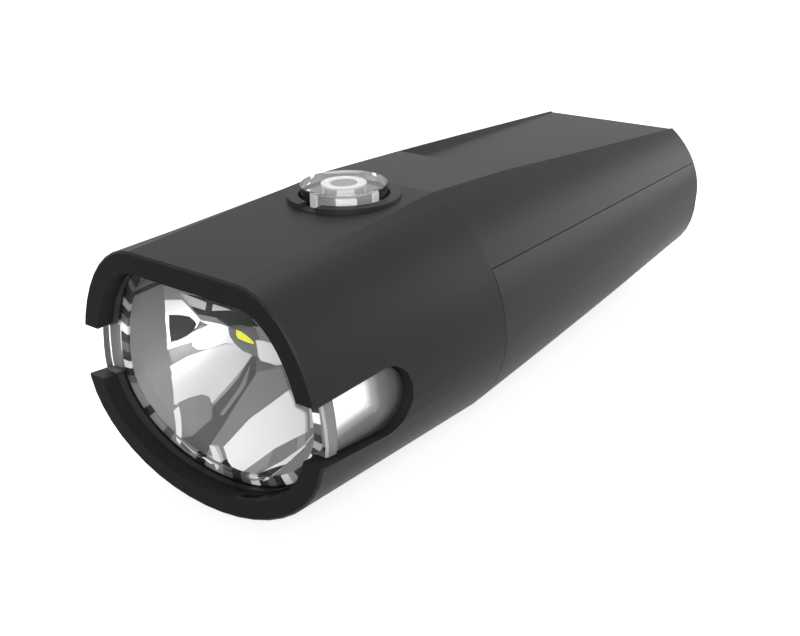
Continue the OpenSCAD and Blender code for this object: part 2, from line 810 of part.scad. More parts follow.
module cell_leads() {
    side = cradle_r + 0.9;
    up = board_z - 0.9;
    color([0.75, 0.15, 0.12]) place() {
        wire([[4.05, cell_y - 1.3, cell_z + 3], [7.6, cell_y - 1.3, cell_z + 3], [7.6, cell_y - 1.3, board_z - 0.05]],
            1.1);
        wire([[-4.05, cell_end + spring_l - 0.4, cell_z + 3], [-side, cell_end + spring_l - 0.4, cell_z + 3],
            [-side, board_y + board_l + 1.5, up], [-5, board_y + board_l + 1.5, up],
            [-5, board_y + board_l - 0.9, up], [-5, board_y + board_l - 0.9, board_z - 0.05]], 1.1);
    }
}

// Charging port

module charge_board() {
    low = port_z - socket_h / 2 - board_t;
    color([0.10, 0.32, 0.18]) place()
        slab([-7.3, cradle_rear + 0.8, low], [7.3, tail_in - 0.3, low + board_t]);
}

module stadium(w, h) {
    translate([-(w - h) / 2, 0]) circle(d = h);
    translate([(w - h) / 2, 0]) circle(d = h);
    square([w - h, h], center = true);
}

module charge_socket() {
    shell = 0.3;
    color([0.75, 0.75, 0.77]) place() translate([0, tail_in - 0.1, port_z]) rotate([90, 0, 0]) difference() {
        linear_extrude(socket_l) stadium(socket_w, socket_h);
        translate([0, 0, -1]) linear_extrude(socket_l + 1 - shell) stadium(socket_w - 2 * shell, socket_h - 2 * shell);
    }
}

module socket_tongue() {
    color([0.12, 0.12, 0.13]) place()
        slab([-3.2, tail_in - 0.1 - socket_l + 0.3, port_z - 0.35], [3.2, tail_in - 1, port_z + 0.35]);
}

module cover_pin() {
    color([0.70, 0.70, 0.72]) place() translate([0, pin_y, pin_z]) rotate([0, 90, 0])
        cylinder(h = cover_w + 2 * cover_gap + 2 * pin_reach - 0.2, d = pin_d, center = true);
}

module port_cover() {
    color([0.13, 0.13, 0.14]) place() difference() {
        union() {
            slab([-cover_w / 2, body_l - cover_t, cover_low], [cover_w / 2, body_l, pin_z]);
            translate([0, pin_y, pin_z]) rotate([0, 90, 0]) cylinder(h = cover_w, d = barrel_d, center = true);
            slab([-socket_w / 2 + 0.6, body_l - cover_t - plug_in, port_z - socket_h / 2 + plug_gap],
                [socket_w / 2 - 0.6, body_l - cover_t + eps, port_z + socket_h / 2 - plug_gap]);
        }
        translate([0, pin_y, pin_z]) rotate([0, 90, 0])
            cylinder(h = cover_w + 2, d = pin_d + 2 * pin_gap, center = true);
    }
}

housing();
tail_shell();
shell_seal();
case_screws();
lens();
lens_seal();
reflector();
led_die();
led_package();
led_board();
led_screws();
led_leads();
heat_sink();
main_board();
board_parts();
board_screws();
tact_switch();
status_leds();
button_seal();
battery_cell();
cell_terminal();
cell_cradle();
front_contact();
rear_contact();
cell_leads();
charge_board();
charge_socket();
socket_tongue();
cover_pin();
button_cap();
button_core();
button_plunger();
switch_stem();
port_cover();
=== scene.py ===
# %% [markdown]
# # Dressing a bicycle headlight
# The imported model gives every solid of the light at its true size, in metres, with the beam
# along -Y, the tail along +Y and up along +Z. This lesson gives those solids the look of the real
# thing: moulded black plastic, a clear lens, a metallised reflector and a clear push button.
# The script loads the solids itself, hangs each new mesh, piece by piece, on the part of the light
# that it rides on, and hides the solids that it replaces.

# %% Load the frame
import bpy
import bmesh
import math
from mathutils import Matrix, Vector


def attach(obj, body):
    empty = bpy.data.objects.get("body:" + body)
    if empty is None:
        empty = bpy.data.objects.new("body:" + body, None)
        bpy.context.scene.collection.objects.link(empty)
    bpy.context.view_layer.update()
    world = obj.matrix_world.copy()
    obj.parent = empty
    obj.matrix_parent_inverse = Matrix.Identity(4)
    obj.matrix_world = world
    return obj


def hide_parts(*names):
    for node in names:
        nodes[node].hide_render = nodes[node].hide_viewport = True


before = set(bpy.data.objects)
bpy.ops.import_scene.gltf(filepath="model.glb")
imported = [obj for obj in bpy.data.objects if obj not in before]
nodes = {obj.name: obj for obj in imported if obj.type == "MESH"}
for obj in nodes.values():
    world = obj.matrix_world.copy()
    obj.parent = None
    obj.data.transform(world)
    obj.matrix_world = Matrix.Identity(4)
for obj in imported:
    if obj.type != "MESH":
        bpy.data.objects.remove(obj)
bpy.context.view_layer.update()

# %% [markdown]
# ## Where things are
# The source of the part measures in millimetres, backwards from the front rim and upwards from
# the level at which the light is widest. A small helper turns such a measure into a place in the
# frame, so that the numbers below stay easy to read against a ruler.

# %% Measures of the body
BODY_LENGTH = 101.2
STANDING = -15.8954      # height of its lowest line, from the widest level
SHOULDER = 34.4          # distance from the front rim to the widest section
BUTTON = 27.5            # distance from the front rim to the middle of the button
MM = 0.001


def at(x, y, z):
    """A place given in millimetres from the front rim and the widest level."""
    return Vector((x, y - BODY_LENGTH / 2, z - STANDING)) * MM


print("the button's middle is at", tuple(round(v, 4) for v in at(0, BUTTON, 0)))

# %% [markdown]
# ## The camera
# The photograph looks at the front from above and from the light's left side. The place and the
# turn come from matching the body's straight lines, so the lens length is part of the match too.
# A camera is set with three directions: right, up and backwards.

# %% Camera
camera_data = bpy.data.cameras.new("camera")
camera = bpy.data.objects.new("camera", camera_data)
bpy.context.scene.collection.objects.link(camera)
bpy.context.scene.camera = camera
camera_data.lens = 46.76
camera_data.clip_start, camera_data.clip_end = 0.005, 20
right = Vector((0.7997, 0.6002, -0.0179)).normalized()
up = Vector((-0.2332, 0.3379, 0.9118)).normalized()
backwards = right.cross(up)
turn = Matrix((right, up, backwards)).transposed().to_4x4()
camera.matrix_world = Matrix.Translation(at(80.73, -67.33, 56.48)) @ turn
bpy.context.scene.view_settings.view_transform = "Standard"
print("camera at", tuple(round(v, 4) for v in camera.location))

# %% [markdown]
# ## Small tools
# An operator works on everything that is selected, and loading the frame leaves its solids
# selected, so each step starts from nothing selected. Faces and edges could be picked by their
# number, but a number changes with every cut, so they are picked by their place or direction.


# %% Selecting
def select_only(*objects):
    """Selects these objects alone and makes the last one active."""
    bpy.ops.object.select_all(action="DESELECT")
    for o in objects:
        o.select_set(True)
    bpy.context.view_layer.objects.active = objects[-1]


def edit_all(o):
    """Goes to edit mode with everything of o selected."""
    select_only(o)
    bpy.ops.object.mode_set(mode="EDIT")
    bpy.ops.mesh.select_all(action="SELECT")


def apply_modifier(o, kind, **settings):
    """Adds one modifier, gives it its settings and applies it."""
    select_only(o)
    bpy.ops.object.modifier_add(type=kind)
    modifier = o.modifiers[-1]
    for name, value in settings.items():
        setattr(modifier, name, value)
    bpy.ops.object.modifier_apply(modifier=modifier.name)


def pick_faces(o, test):
    """Goes to edit mode with the faces of o selected for which test(face) is true."""
    select_only(o)
    bpy.ops.object.mode_set(mode="EDIT")
    bpy.ops.mesh.select_mode(type="FACE")
    bpy.ops.mesh.select_all(action="DESELECT")
    bpy.ops.object.mode_set(mode="OBJECT")
    for face in o.data.polygons:
        face.select = test(face)
    bpy.ops.object.mode_set(mode="EDIT")


def pick_edges(o, over):
    """Goes to edit mode with the edges of o selected that turn by more than some degrees."""
    select_only(o)
    bpy.ops.object.mode_set(mode="EDIT")
    bpy.ops.mesh.select_mode(type="EDGE")
    bpy.ops.mesh.select_all(action="DESELECT")
    work = bmesh.from_edit_mesh(o.data)
    count = 0
    for edge in work.edges:
        if len(edge.link_faces) != 2 or edge.calc_face_angle(math.pi) > math.radians(over):
            edge.select_set(True)
            count += 1
    bmesh.update_edit_mesh(o.data)
    return count


# %% [markdown]
# ## A working copy of a solid
# A solid from the frame is loose triangles. For a piece whose edges need rounding we take a copy,
# weld it, and join the triangles that lie in one plane, so that a bevel finds real edges.
# Where the moulded surface changes direction so little that smoothing would hide it, the edge
# is marked sharp by its place. Weighted normals then keep the flat faces flat beside the round
# edges, which a plain smooth shading would make look swollen.


# %% Copy, weld and round
def working_copy(node, name):
    """A new object with the welded mesh of one of the frame's solids."""
    source = nodes[node]
    copy = bpy.data.objects.new(name, source.data.copy())
    bpy.context.scene.collection.objects.link(copy)
    copy.data.materials.clear()
    edit_all(copy)
    bpy.ops.mesh.remove_doubles(threshold=0.000002)
    bpy.ops.mesh.dissolve_limited(angle_limit=math.radians(0.4))
    bpy.ops.object.mode_set(mode="OBJECT")
    return copy


def round_edges(o, width, over=20, segments=2):
    """Bevels the edges of o that turn by more than some degrees; the width is in millimetres."""
    count = pick_edges(o, over)
    bpy.ops.mesh.bevel(offset=width * MM, offset_type="OFFSET", segments=segments, profile=0.5,
                       clamp_overlap=True, miter_outer="ARC")
    bpy.ops.object.mode_set(mode="OBJECT")
    return count


def smooth(o, angle=20, sharp_where=None):
    """Smooth shading, with edges over an angle kept sharp, and some more by their place."""
    select_only(o)
    bpy.ops.object.shade_smooth_by_angle(angle=math.radians(angle), keep_sharp_edges=False)
    if sharp_where:
        for edge in o.data.edges:
            a, b = (o.data.vertices[i].co for i in edge.vertices)
            if sharp_where(a, b):
                edge.use_edge_sharp = True
    apply_modifier(o, "WEIGHTED_NORMAL", keep_sharp=True, weight=80)


# %% [markdown]
# ## Finishes
# Every finish is a node material. The base is the Principled shader. A slow noise in Object
# coordinates drives small changes of colour, and a fine one those of the gloss and the bump, as
# on real mouldings, where the texture of the tool is never quite even. An image could do the
# same, but noise needs no file and never repeats.


# %% A material with moulded detail
CLOUDS_PER_METRE = 90
GRAIN_DEPTH = 0.03 * MM


def set_inputs(node, **values):
    """Sets inputs of a node by their names, in which an underscore stands for a space."""
    for name, value in values.items():
        node.inputs[name.replace("_", " ")].default_value = value


def finish_of(name, colour, rough, spread=0.06, grain=9000, bump=0.04, metal=0.0, shade=0.12,
              coat=0.0, specular=0.5):
    """spread is how much the roughness varies, grain the fineness and shade the change of tone."""
    material = bpy.data.materials.new(name)
    material.use_nodes = True
    tree = material.node_tree
    shader = tree.nodes["Principled BSDF"]
    set_inputs(shader, Metallic=metal, Specular_IOR_Level=specular, Coat_Weight=coat)
    place = tree.nodes.new("ShaderNodeTexCoord")

    slow = tree.nodes.new("ShaderNodeTexNoise")
    set_inputs(slow, Scale=CLOUDS_PER_METRE, Detail=4)
    tree.links.new(place.outputs["Object"], slow.inputs["Vector"])
    tint = tree.nodes.new("ShaderNodeMix")
    tint.data_type = "RGBA"
    set_inputs(tint, A=(*[c * (1 - shade) for c in colour], 1),
               B=(*[min(1, c * (1 + shade)) for c in colour], 1))
    tree.links.new(slow.outputs["Fac"], tint.inputs["Factor"])
    tree.links.new(tint.outputs["Result"], shader.inputs["Base Color"])

    fine = tree.nodes.new("ShaderNodeTexNoise")
    set_inputs(fine, Scale=grain, Detail=3)
    tree.links.new(place.outputs["Object"], fine.inputs["Vector"])
    gloss = tree.nodes.new("ShaderNodeMapRange")
    set_inputs(gloss, To_Min=max(0.0, rough - spread), To_Max=rough + spread)
    tree.links.new(fine.outputs["Fac"], gloss.inputs["Value"])
    tree.links.new(gloss.outputs["Result"], shader.inputs["Roughness"])
    relief = tree.nodes.new("ShaderNodeBump")
    set_inputs(relief, Strength=bump, Distance=GRAIN_DEPTH)
    tree.links.new(fine.outputs["Fac"], relief.inputs["Height"])
    tree.links.new(relief.outputs["Normal"], shader.inputs["Normal"])
    return material


def paint(o, material):
    """Gives an object one finish in place of all that it had."""
    o.data.materials.clear()
    o.data.materials.append(material)


# %% [markdown]
# ### The finishes of this light
# The housing is satin black, which shows as a very dark grey, because half of what one sees of a
# black moulding is the room in its surface. Its front rim is painted a shade darker, a painted
# shade that takes out the room it mirrors, and its inner lip is painted a shade lighter, a painted
# light that lifts the shade lying in it.

# %% Plastics
black_plastic = finish_of("black_plastic", (0.020, 0.020, 0.0205), 0.42, spread=0.05, bump=0.12,
                          specular=0.08)
shell_plastic = finish_of("shell_plastic", (0.021, 0.021, 0.0215), 0.42, spread=0.05, bump=0.12,
                          specular=0.09)
# The rim's darker tone is painted shade and the lip's lighter tone painted light, both on the same
# black plastic.
rim_painted_darker = finish_of("rim_painted_darker", (0.011, 0.011, 0.0115), 0.5, bump=0.12, specular=0.03)
lip_painted_lighter = finish_of("lip_painted_lighter", (0.035, 0.035, 0.036), 0.5, bump=0.12, specular=0.1)
print("plastics:", black_plastic.name, shell_plastic.name, rim_painted_darker.name, lip_painted_lighter.name)

# %% [markdown]
# The inner parts get the finish of their trade: silicone, ceramic, circuit board, shrink sleeve.
# The yellow phosphor and the button's light guide also get a little emission. It stands for
# light that would reach them through the clear plastic, which a path tracer mostly leaves out.

# %% Rubber and inner parts
# The seam's rubber is painted lighter than the lens seal's, a painted light that lifts the shade in
# the seam's groove.
seam_rubber_painted_lighter = finish_of("seam_rubber_painted_lighter", (0.09, 0.09, 0.09), 0.7, bump=0.2)
seal_rubber = finish_of("seal_rubber", (0.03, 0.03, 0.032), 0.7, bump=0.2)
flap_rubber = finish_of("flap_rubber", (0.018, 0.018, 0.018), 0.62, bump=0.25)
button_silicone = finish_of("button_silicone", (0.05, 0.05, 0.055), 0.6, bump=0.2)
grey_ceramic = finish_of("grey_ceramic", (0.16, 0.16, 0.155), 0.45)
yellow_phosphor = finish_of("yellow_phosphor", (0.90, 0.85, 0.04), 0.45, grain=20000, bump=0.3)
board_mask = finish_of("board_mask", (0.02, 0.11, 0.05), 0.35, grain=4000, bump=0.15)
lamp_board_mask = finish_of("lamp_board_mask", (0.05, 0.052, 0.055), 0.35, grain=4000)
wire_silicone = finish_of("wire_silicone", (0.45, 0.03, 0.025), 0.5)
chip_epoxy = finish_of("chip_epoxy", (0.02, 0.02, 0.022), 0.5, grain=6000, bump=0.3)
nylon = finish_of("nylon", (0.06, 0.06, 0.065), 0.55, bump=0.2)
sleeve_blue = finish_of("sleeve_blue", (0.03, 0.10, 0.30), 0.28, bump=0.05, coat=0.2)
clear_epoxy = finish_of("clear_epoxy", (0.5, 0.75, 0.5), 0.2)
grey_acetal = finish_of("grey_acetal", (0.30, 0.30, 0.31), 0.45)
white_guide = finish_of("white_guide", (0.80, 0.80, 0.79), 0.35)
# The bright and the frosted guide are lit and shaded copies of one white: a painted highlight, with
# a glow, and painted shade.
lit_guide_with_glow = finish_of("lit_guide_with_glow", (0.92, 0.92, 0.91), 0.3)
shaded_guide_paint = finish_of("shaded_guide_paint", (0.42, 0.42, 0.42), 0.45)
for material, colour, strength in ((yellow_phosphor, (0.95, 0.93, 0.06, 1), 0.7),
                                   (lit_guide_with_glow, (1, 1, 1, 1), 0.2)):
    set_inputs(material.node_tree.nodes["Principled BSDF"], Emission_Color=colour,
               Emission_Strength=strength)
print(len(bpy.data.materials), "materials so far")

# %% [markdown]
# Nickel, zinc, aluminium and steel are full metals in the shader, with the colour of their
# reflection as base colour. They differ mostly in roughness: a contact is smoother than a screw.

# %% Metals
nickel = finish_of("nickel", (0.62, 0.60, 0.56), 0.25, metal=1.0, grain=5000, bump=0.1)
zinc = finish_of("zinc", (0.55, 0.56, 0.58), 0.32, metal=1.0, grain=3000, bump=0.15)
bare_aluminium = finish_of("bare_aluminium", (0.70, 0.71, 0.73), 0.38, metal=1.0, grain=2500,
                           bump=0.2)
steel_shell = finish_of("steel_shell", (0.58, 0.58, 0.60), 0.22, metal=1.0, grain=4000, bump=0.08)
print(len(bpy.data.materials), "materials so far")

# %% [markdown]
# ### Coats of the reflector, with painted reflections
# The reflector is one vapour coat, yet its facets look white, grey or black, as each mirrors
# another part of the room and of the bowl. Real mirrors would do that here only with the very same
# room, so each facet gets a soft coat with its reflection painted in as its tone, and only the
# small facet that shows the emitter is a true mirror.

# %% Reflector coats
# Every coat below but the mirror has a painted reflection as its tone.
painted_white_reflection = finish_of("painted_white_reflection", (0.86, 0.86, 0.865), 0.22, spread=0.03, metal=0.2,
                        grain=1500, bump=0.02, shade=0.02)
mirror_coat = finish_of("mirror_coat", (0.86, 0.86, 0.87), 0.02, spread=0.01, metal=1.0,
                        grain=1500, bump=0.0, shade=0.01)


def coat_of(name, tone, shade=0.08):
    """A half metallic coat of one grey tone, which is a painted reflection."""
    return finish_of(name, (tone, tone, tone * 1.01), 0.34, spread=0.05, metal=0.35, grain=2500,
                     bump=0.0, shade=shade, specular=0.2)


painted_leaf_reflection = coat_of("painted_leaf_reflection", 0.70, 0.22)
painted_pale_reflection = coat_of("painted_pale_reflection", 0.36, 0.15)
painted_grey_reflection = finish_of("painted_grey_reflection", (0.235, 0.235, 0.237), 0.5, metal=0.05, grain=2500,
                       bump=0.0, shade=0.1, specular=0.2)
painted_glint = finish_of("painted_glint", (0.97, 0.97, 0.97), 0.2, metal=0.0, grain=1500,
                       bump=0.0, shade=0.02, specular=0.9)
painted_dusk_reflection = coat_of("painted_dusk_reflection", 0.17, 0.12)
painted_dim_reflection = coat_of("painted_dim_reflection", 0.10)
painted_dark_reflection = finish_of("painted_dark_reflection", (0.016, 0.016, 0.0165), 0.4, metal=0.2, grain=2500,
                        bump=0.0, shade=0.1, specular=0.05)
print(len(bpy.data.materials), "materials so far")


# %% [markdown]
# ### Clear plastic
# The lens and the button cap are clear polycarbonate, made with transmission. The cap has a
# refraction index of 1.5, near that of the real plastic, and bends what is behind it. With 1.5 the
# lens's flat face would mirror the white room and veil the reflector, so the lens gets 1.13. That
# is no real plastic's index, but with it the lens mirrors as little as a coated one does. A trace
# of noise in the roughness is the haze of a moulded part.


# %% Clear material
def clear_plastic(name, tint, rough, bend=1.5):
    """A finish that lets light through; bend is its refraction index."""
    material = finish_of(name, tint, rough, spread=rough * 0.6, grain=1200, bump=0.01, shade=0.01)
    set_inputs(material.node_tree.nodes["Principled BSDF"], Transmission_Weight=1.0, IOR=bend)
    return material


lens_clear = clear_plastic("lens_clear", (0.98, 0.985, 0.985), 0.004, bend=1.13)
cap_clear = clear_plastic("cap_clear", (0.97, 0.98, 0.98), 0.015)
print("clear finishes:", lens_clear.name, cap_clear.name)

# %% [markdown]
# ### Finishes on the solids
# Every solid gets its finish, also the ones deep inside: another picture may open the light, and
# each piece may be shown on its own. The pieces that are modelled below replace some.

# %% Painting the solids
for node, material in {
    "tail_shell": shell_plastic, "shell_seal": seam_rubber_painted_lighter, "case_screws": zinc,
    "lens": lens_clear, "lens_seal": seal_rubber, "reflector": painted_white_reflection,
    "led_die": yellow_phosphor, "led_package": grey_ceramic, "led_board": lamp_board_mask,
    "led_screws": zinc, "led_leads": wire_silicone, "heat_sink": bare_aluminium,
    "main_board": board_mask, "board_parts": chip_epoxy, "board_screws": zinc,
    "tact_switch": nylon, "status_leds": clear_epoxy, "button_seal": button_silicone,
    "battery_cell": sleeve_blue, "cell_terminal": nickel, "cell_cradle": nylon,
    "front_contact": nickel, "rear_contact": nickel, "cell_leads": wire_silicone,
    "charge_board": board_mask, "charge_socket": steel_shell, "socket_tongue": chip_epoxy,
    "cover_pin": zinc, "button_cap": cap_clear, "button_core": white_guide,
    "button_plunger": grey_acetal, "switch_stem": nylon, "port_cover": flap_rubber,
    "housing": black_plastic,
}.items():
    paint(nodes[node], material)
print(len(nodes), "solids painted")

# %% [markdown]
# ## The housing
# On the real light the housing is one moulding: the sleeve round the lens, the whole top, the
# collar round the button and the sunk panel on the tail. Its edges are not knife edges, so a
# working copy of the solid gets its edges rounded by a few tenths of a millimetre. Sharp edges
# would save faces, but nothing would catch the light on them. The bend all round at the widest
# section is shallow but crisp, so it is marked sharp by its place.

# %% Housing
HOUSING_ROUND = 0.28
housing = working_copy("housing", "housing_moulding")
rounded = round_edges(housing, HOUSING_ROUND, over=22)
bend_y = at(0, SHOULDER, 0).y
smooth(housing, 20, lambda a, b: max(abs(a.y - bend_y), abs(b.y - bend_y)) < 0.05 * MM)
print("housing:", rounded, "edges rounded,", len(housing.data.polygons), "faces")

# %% [markdown]
# The rim's front faces point at -Y. The lip is what faces the beam's axis in the first four
# millimetres, between rim and lens.

# %% Rim and lip
RIM_DEPTH, LIP_DEPTH = 0.2, 4.0
paint(housing, black_plastic)
housing.data.materials.append(rim_painted_darker)
housing.data.materials.append(lip_painted_lighter)
# Faces of the rim get the painted shade, faces of the lip the painted light.
for face in housing.data.polygons:
    from_rim = face.center.y / MM + BODY_LENGTH / 2
    outward = face.center - Vector((0, face.center.y, -STANDING * MM))
    if face.normal.y < -0.9 and from_rim < RIM_DEPTH:
        face.material_index = 1
    elif 0.1 < from_rim < LIP_DEPTH and face.normal.dot(outward) < 0:
        face.material_index = 2
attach(housing, "light")
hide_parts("housing")
tally = [sum(face.material_index == k for face in housing.data.polygons) for k in (1, 2)]
print("faces of the rim and of the lip:", tally)

# %% [markdown]
# ## The tail shell
# The lower rear shell closes the body below the seam. It is made in the same way. As both of its
# joint edges are rounded a little, the seam shows as a fine groove, as it does between any two
# mouldings.

# %% Tail shell
TAIL_ROUND = 0.25
tail_shell = working_copy("tail_shell", "tail_moulding")
rounded = round_edges(tail_shell, TAIL_ROUND, over=22)
smooth(tail_shell, 20)
paint(tail_shell, shell_plastic)
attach(tail_shell, "light")
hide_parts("tail_shell")
print("tail shell:", rounded, "edges rounded,", len(tail_shell.data.polygons), "faces")

# %% [markdown]
# ## The reflector
# The real reflector is a half bowl of white plastic below the emitter, with a vapour coat inside.
# Its curve is a parabola whose focus is the emitter. Two cheeks flare from it to the front edge,
# and it is broken into petals that each send the light a little elsewhere. One could
# boolean a spun bowl with the sleeve, which leaves ragged triangles. Here a flat grid is bent
# instead: one direction of the grid becomes the angle round the beam, the other the way from the
# middle to the front edge, so the mesh follows the form.

# %% Measures of the reflector
RIM = 4.0                # from the front rim to the reflector's front edge
VERTEX = 19.5            # from the front rim to the deepest point of its curve
BEAM = 9.4               # height of the beam's axis
CURVE = 24.0             # four times the focal length
SLEEVE_SIDE = 19.1       # half width of the sleeve behind the lens
SLEEVE_TOP = 16.8        # height of its flat top
SLEEVE_BELLY = 13.75     # depth of its round belly
SLEEVE_FLAT = 8.4        # half width of the flat top
REFLECTOR_IN = 4.2       # from the sleeve's outside to the reflector's front edge


def bowl_depth(x, z):
    """How far behind the front rim the bowl lies at a place across the beam."""
    return VERTEX - (x * x + (z - BEAM) ** 2) / CURVE


def sleeve_outline(inset, count=48):
    """Points (x, z) of the sleeve's section behind the lens, some way in from its outside."""
    side, top, belly = SLEEVE_SIDE - inset, SLEEVE_TOP - inset, SLEEVE_BELLY - inset
    arc = [(SLEEVE_FLAT + (side - SLEEVE_FLAT) * math.cos(a), top * math.sin(a))
           for a in (math.pi / 2 * i / count for i in range(count + 1))]
    low = [(side * math.cos(a), -belly * math.sin(a))
           for a in (math.pi * i / (2 * count) for i in range(1, 2 * count))]
    return arc + [(-x, z) for x, z in reversed(arc)] + low[::-1]


def reach(outline, angle):
    """How far the outline lies from the beam's axis; 0 is towards +X and 90 degrees is down."""
    dx, dz = math.cos(angle), -math.sin(angle)
    best = 99.0
    for (x1, z1), (x2, z2) in zip(outline, outline[1:] + outline[:1]):
        ex, ez = x2 - x1, z2 - z1
        det = dx * -ez + ex * dz
        if abs(det) < 1e-9:
            continue
        px, pz = x1, z1 - BEAM
        r = (px * -ez + ex * pz) / det
        t = (dx * pz - dz * px) / det
        if r > 0.1 and -1e-6 <= t <= 1 + 1e-6:
            best = min(best, r)
    return best


left_cheek = [(-15.0, 11.0), (-14.9, 7.5), (-14.7, 5.5), (-14.4, 3.7), (-13.4, 0.2), (-12.4, -1.8),
              (-10.2, -5.5), (-7.6, -8.6), (-5.0, -9.6), (-2.5, -9.8)]
bowl_edge = left_cheek + [(0, -9.9)] + [(-x, z) for x, z in reversed(left_cheek)]
front_edge = sleeve_outline(REFLECTOR_IN)
print("half width of the bowl:", round(reach(bowl_edge, 0), 2))
print("depth of the bowl below the beam:", round(reach(bowl_edge, math.pi / 2), 2))

# %% [markdown]
# The grid's columns become angles, its first rows rings of the bowl and its last rows the cheeks.
# The rows of the middle meet in one point, so doubles are merged, and a wall is added behind.

# %% The bent grid
rings = [0, 2, 4, 6, 8, *range(10, 22)]
walls = 6
sectors = 128
last_row = len(rings) + walls - 1
bpy.ops.object.select_all(action="DESELECT")
bpy.ops.mesh.primitive_grid_add(x_subdivisions=sectors, y_subdivisions=last_row, size=2)
bowl = bpy.context.object
bowl.name = "reflector_bowl"
for v in bowl.data.vertices:
    angle = math.pi * (v.co.x + 1) / 2
    row = round((v.co.y + 1) / 2 * last_row)
    edge = reach(bowl_edge, angle)
    r = min(rings[row], edge) if row < len(rings) else edge
    x, z = r * math.cos(angle), BEAM - r * math.sin(angle)
    y = bowl_depth(x, z)
    if row >= len(rings):
        part = (row - len(rings) + 1) / walls
        wide = max(edge, reach(front_edge, angle))
        r += (wide - r) * part
        x, z = r * math.cos(angle), BEAM - r * math.sin(angle)
        y += (RIM - y) * part
    v.co = at(x, y, z)
print(len(bowl.data.vertices), "corners laid on the bowl")


# %% Weld, turn and thicken the bowl
def face_towards(o, direction):
    """Turns all faces of o over if they look away from a direction on the whole."""
    if sum(face.normal.dot(Vector(direction)) for face in o.data.polygons) < 0:
        o.data.flip_normals()


edit_all(bowl)
bpy.ops.mesh.remove_doubles(threshold=0.000005)
bpy.ops.mesh.normals_make_consistent(inside=False)
bpy.ops.object.mode_set(mode="OBJECT")
face_towards(bowl, (0, -1, 0))
# The bowl's grey is a painted reflection.
paint(bowl, painted_grey_reflection)
bowl.data.materials.append(white_guide)
apply_modifier(bowl, "SOLIDIFY", thickness=0.3 * MM, offset=-1,
               material_offset=1, material_offset_rim=0)
print("bowl:", len(bowl.data.polygons), "faces")

# %% [markdown]
# ### Petals
# A petal is a patch that stands a few tenths of a millimetre in front of the bowl, with a crisp
# edge. Cutting facets into the bowl itself would need a knife and leave slivers. Instead each one
# starts as a flat polygon with the corners of the facet as they lie across the beam; it is cut into
# small triangles, laid on the curve, and its border is drawn back into the bowl. Petals differ in
# the reflection painted into their coat, from glint and white over leaf, pale, grey, dusk and dim
# to dark.


# %% Raising a petal
def flat_polygon(name, corners, fill="NGON"):
    """A new polygon with its corners at the places given; with fill NOTHING it is only a line."""
    bpy.ops.object.select_all(action="DESELECT")
    bpy.ops.mesh.primitive_circle_add(vertices=len(corners), fill_type=fill)
    polygon = bpy.context.object
    polygon.name = name
    for v, corner in zip(polygon.data.vertices, corners):
        v.co = at(*corner)
    return polygon


def cut_up(polygon, cuts):
    """Cuts a polygon into triangles and those into smaller ones, so that it can follow a curve."""
    edit_all(polygon)
    bpy.ops.mesh.quads_convert_to_tris(quad_method="BEAUTY", ngon_method="BEAUTY")
    bpy.ops.mesh.subdivide(number_cuts=cuts)
    bpy.ops.object.mode_set(mode="OBJECT")


def raise_petal(name, coat, push, corners):
    """A petal with its corners at (x, z), pushed forward from the bowl by some millimetres."""
    petal = flat_polygon(name, [(x, 0, z) for x, z in corners])
    cut_up(petal, 5)
    for v in petal.data.vertices:
        x, z = v.co.x / MM, v.co.z / MM + STANDING
        v.co = at(x, bowl_depth(x, z) - push, z)
    close_petal(petal, push + 0.2)
    paint(petal, coat)
    return petal


def close_petal(petal, back):
    """Turns a patch to the front and draws its border back, so that it is a closed block."""
    select_only(petal)
    face_towards(petal, (0, -1, 0))
    bpy.ops.object.mode_set(mode="EDIT")
    bpy.ops.mesh.select_mode(type="FACE")
    bpy.ops.mesh.select_all(action="SELECT")
    bpy.ops.mesh.duplicate()
    bpy.ops.transform.translate(value=(0, back * MM, 0))
    bpy.ops.mesh.flip_normals()
    bpy.ops.mesh.select_all(action="SELECT")
    bpy.ops.mesh.select_mode(type="EDGE")
    bpy.ops.mesh.region_to_loop()
    bpy.ops.mesh.bridge_edge_loops()
    bpy.ops.object.mode_set(mode="OBJECT")


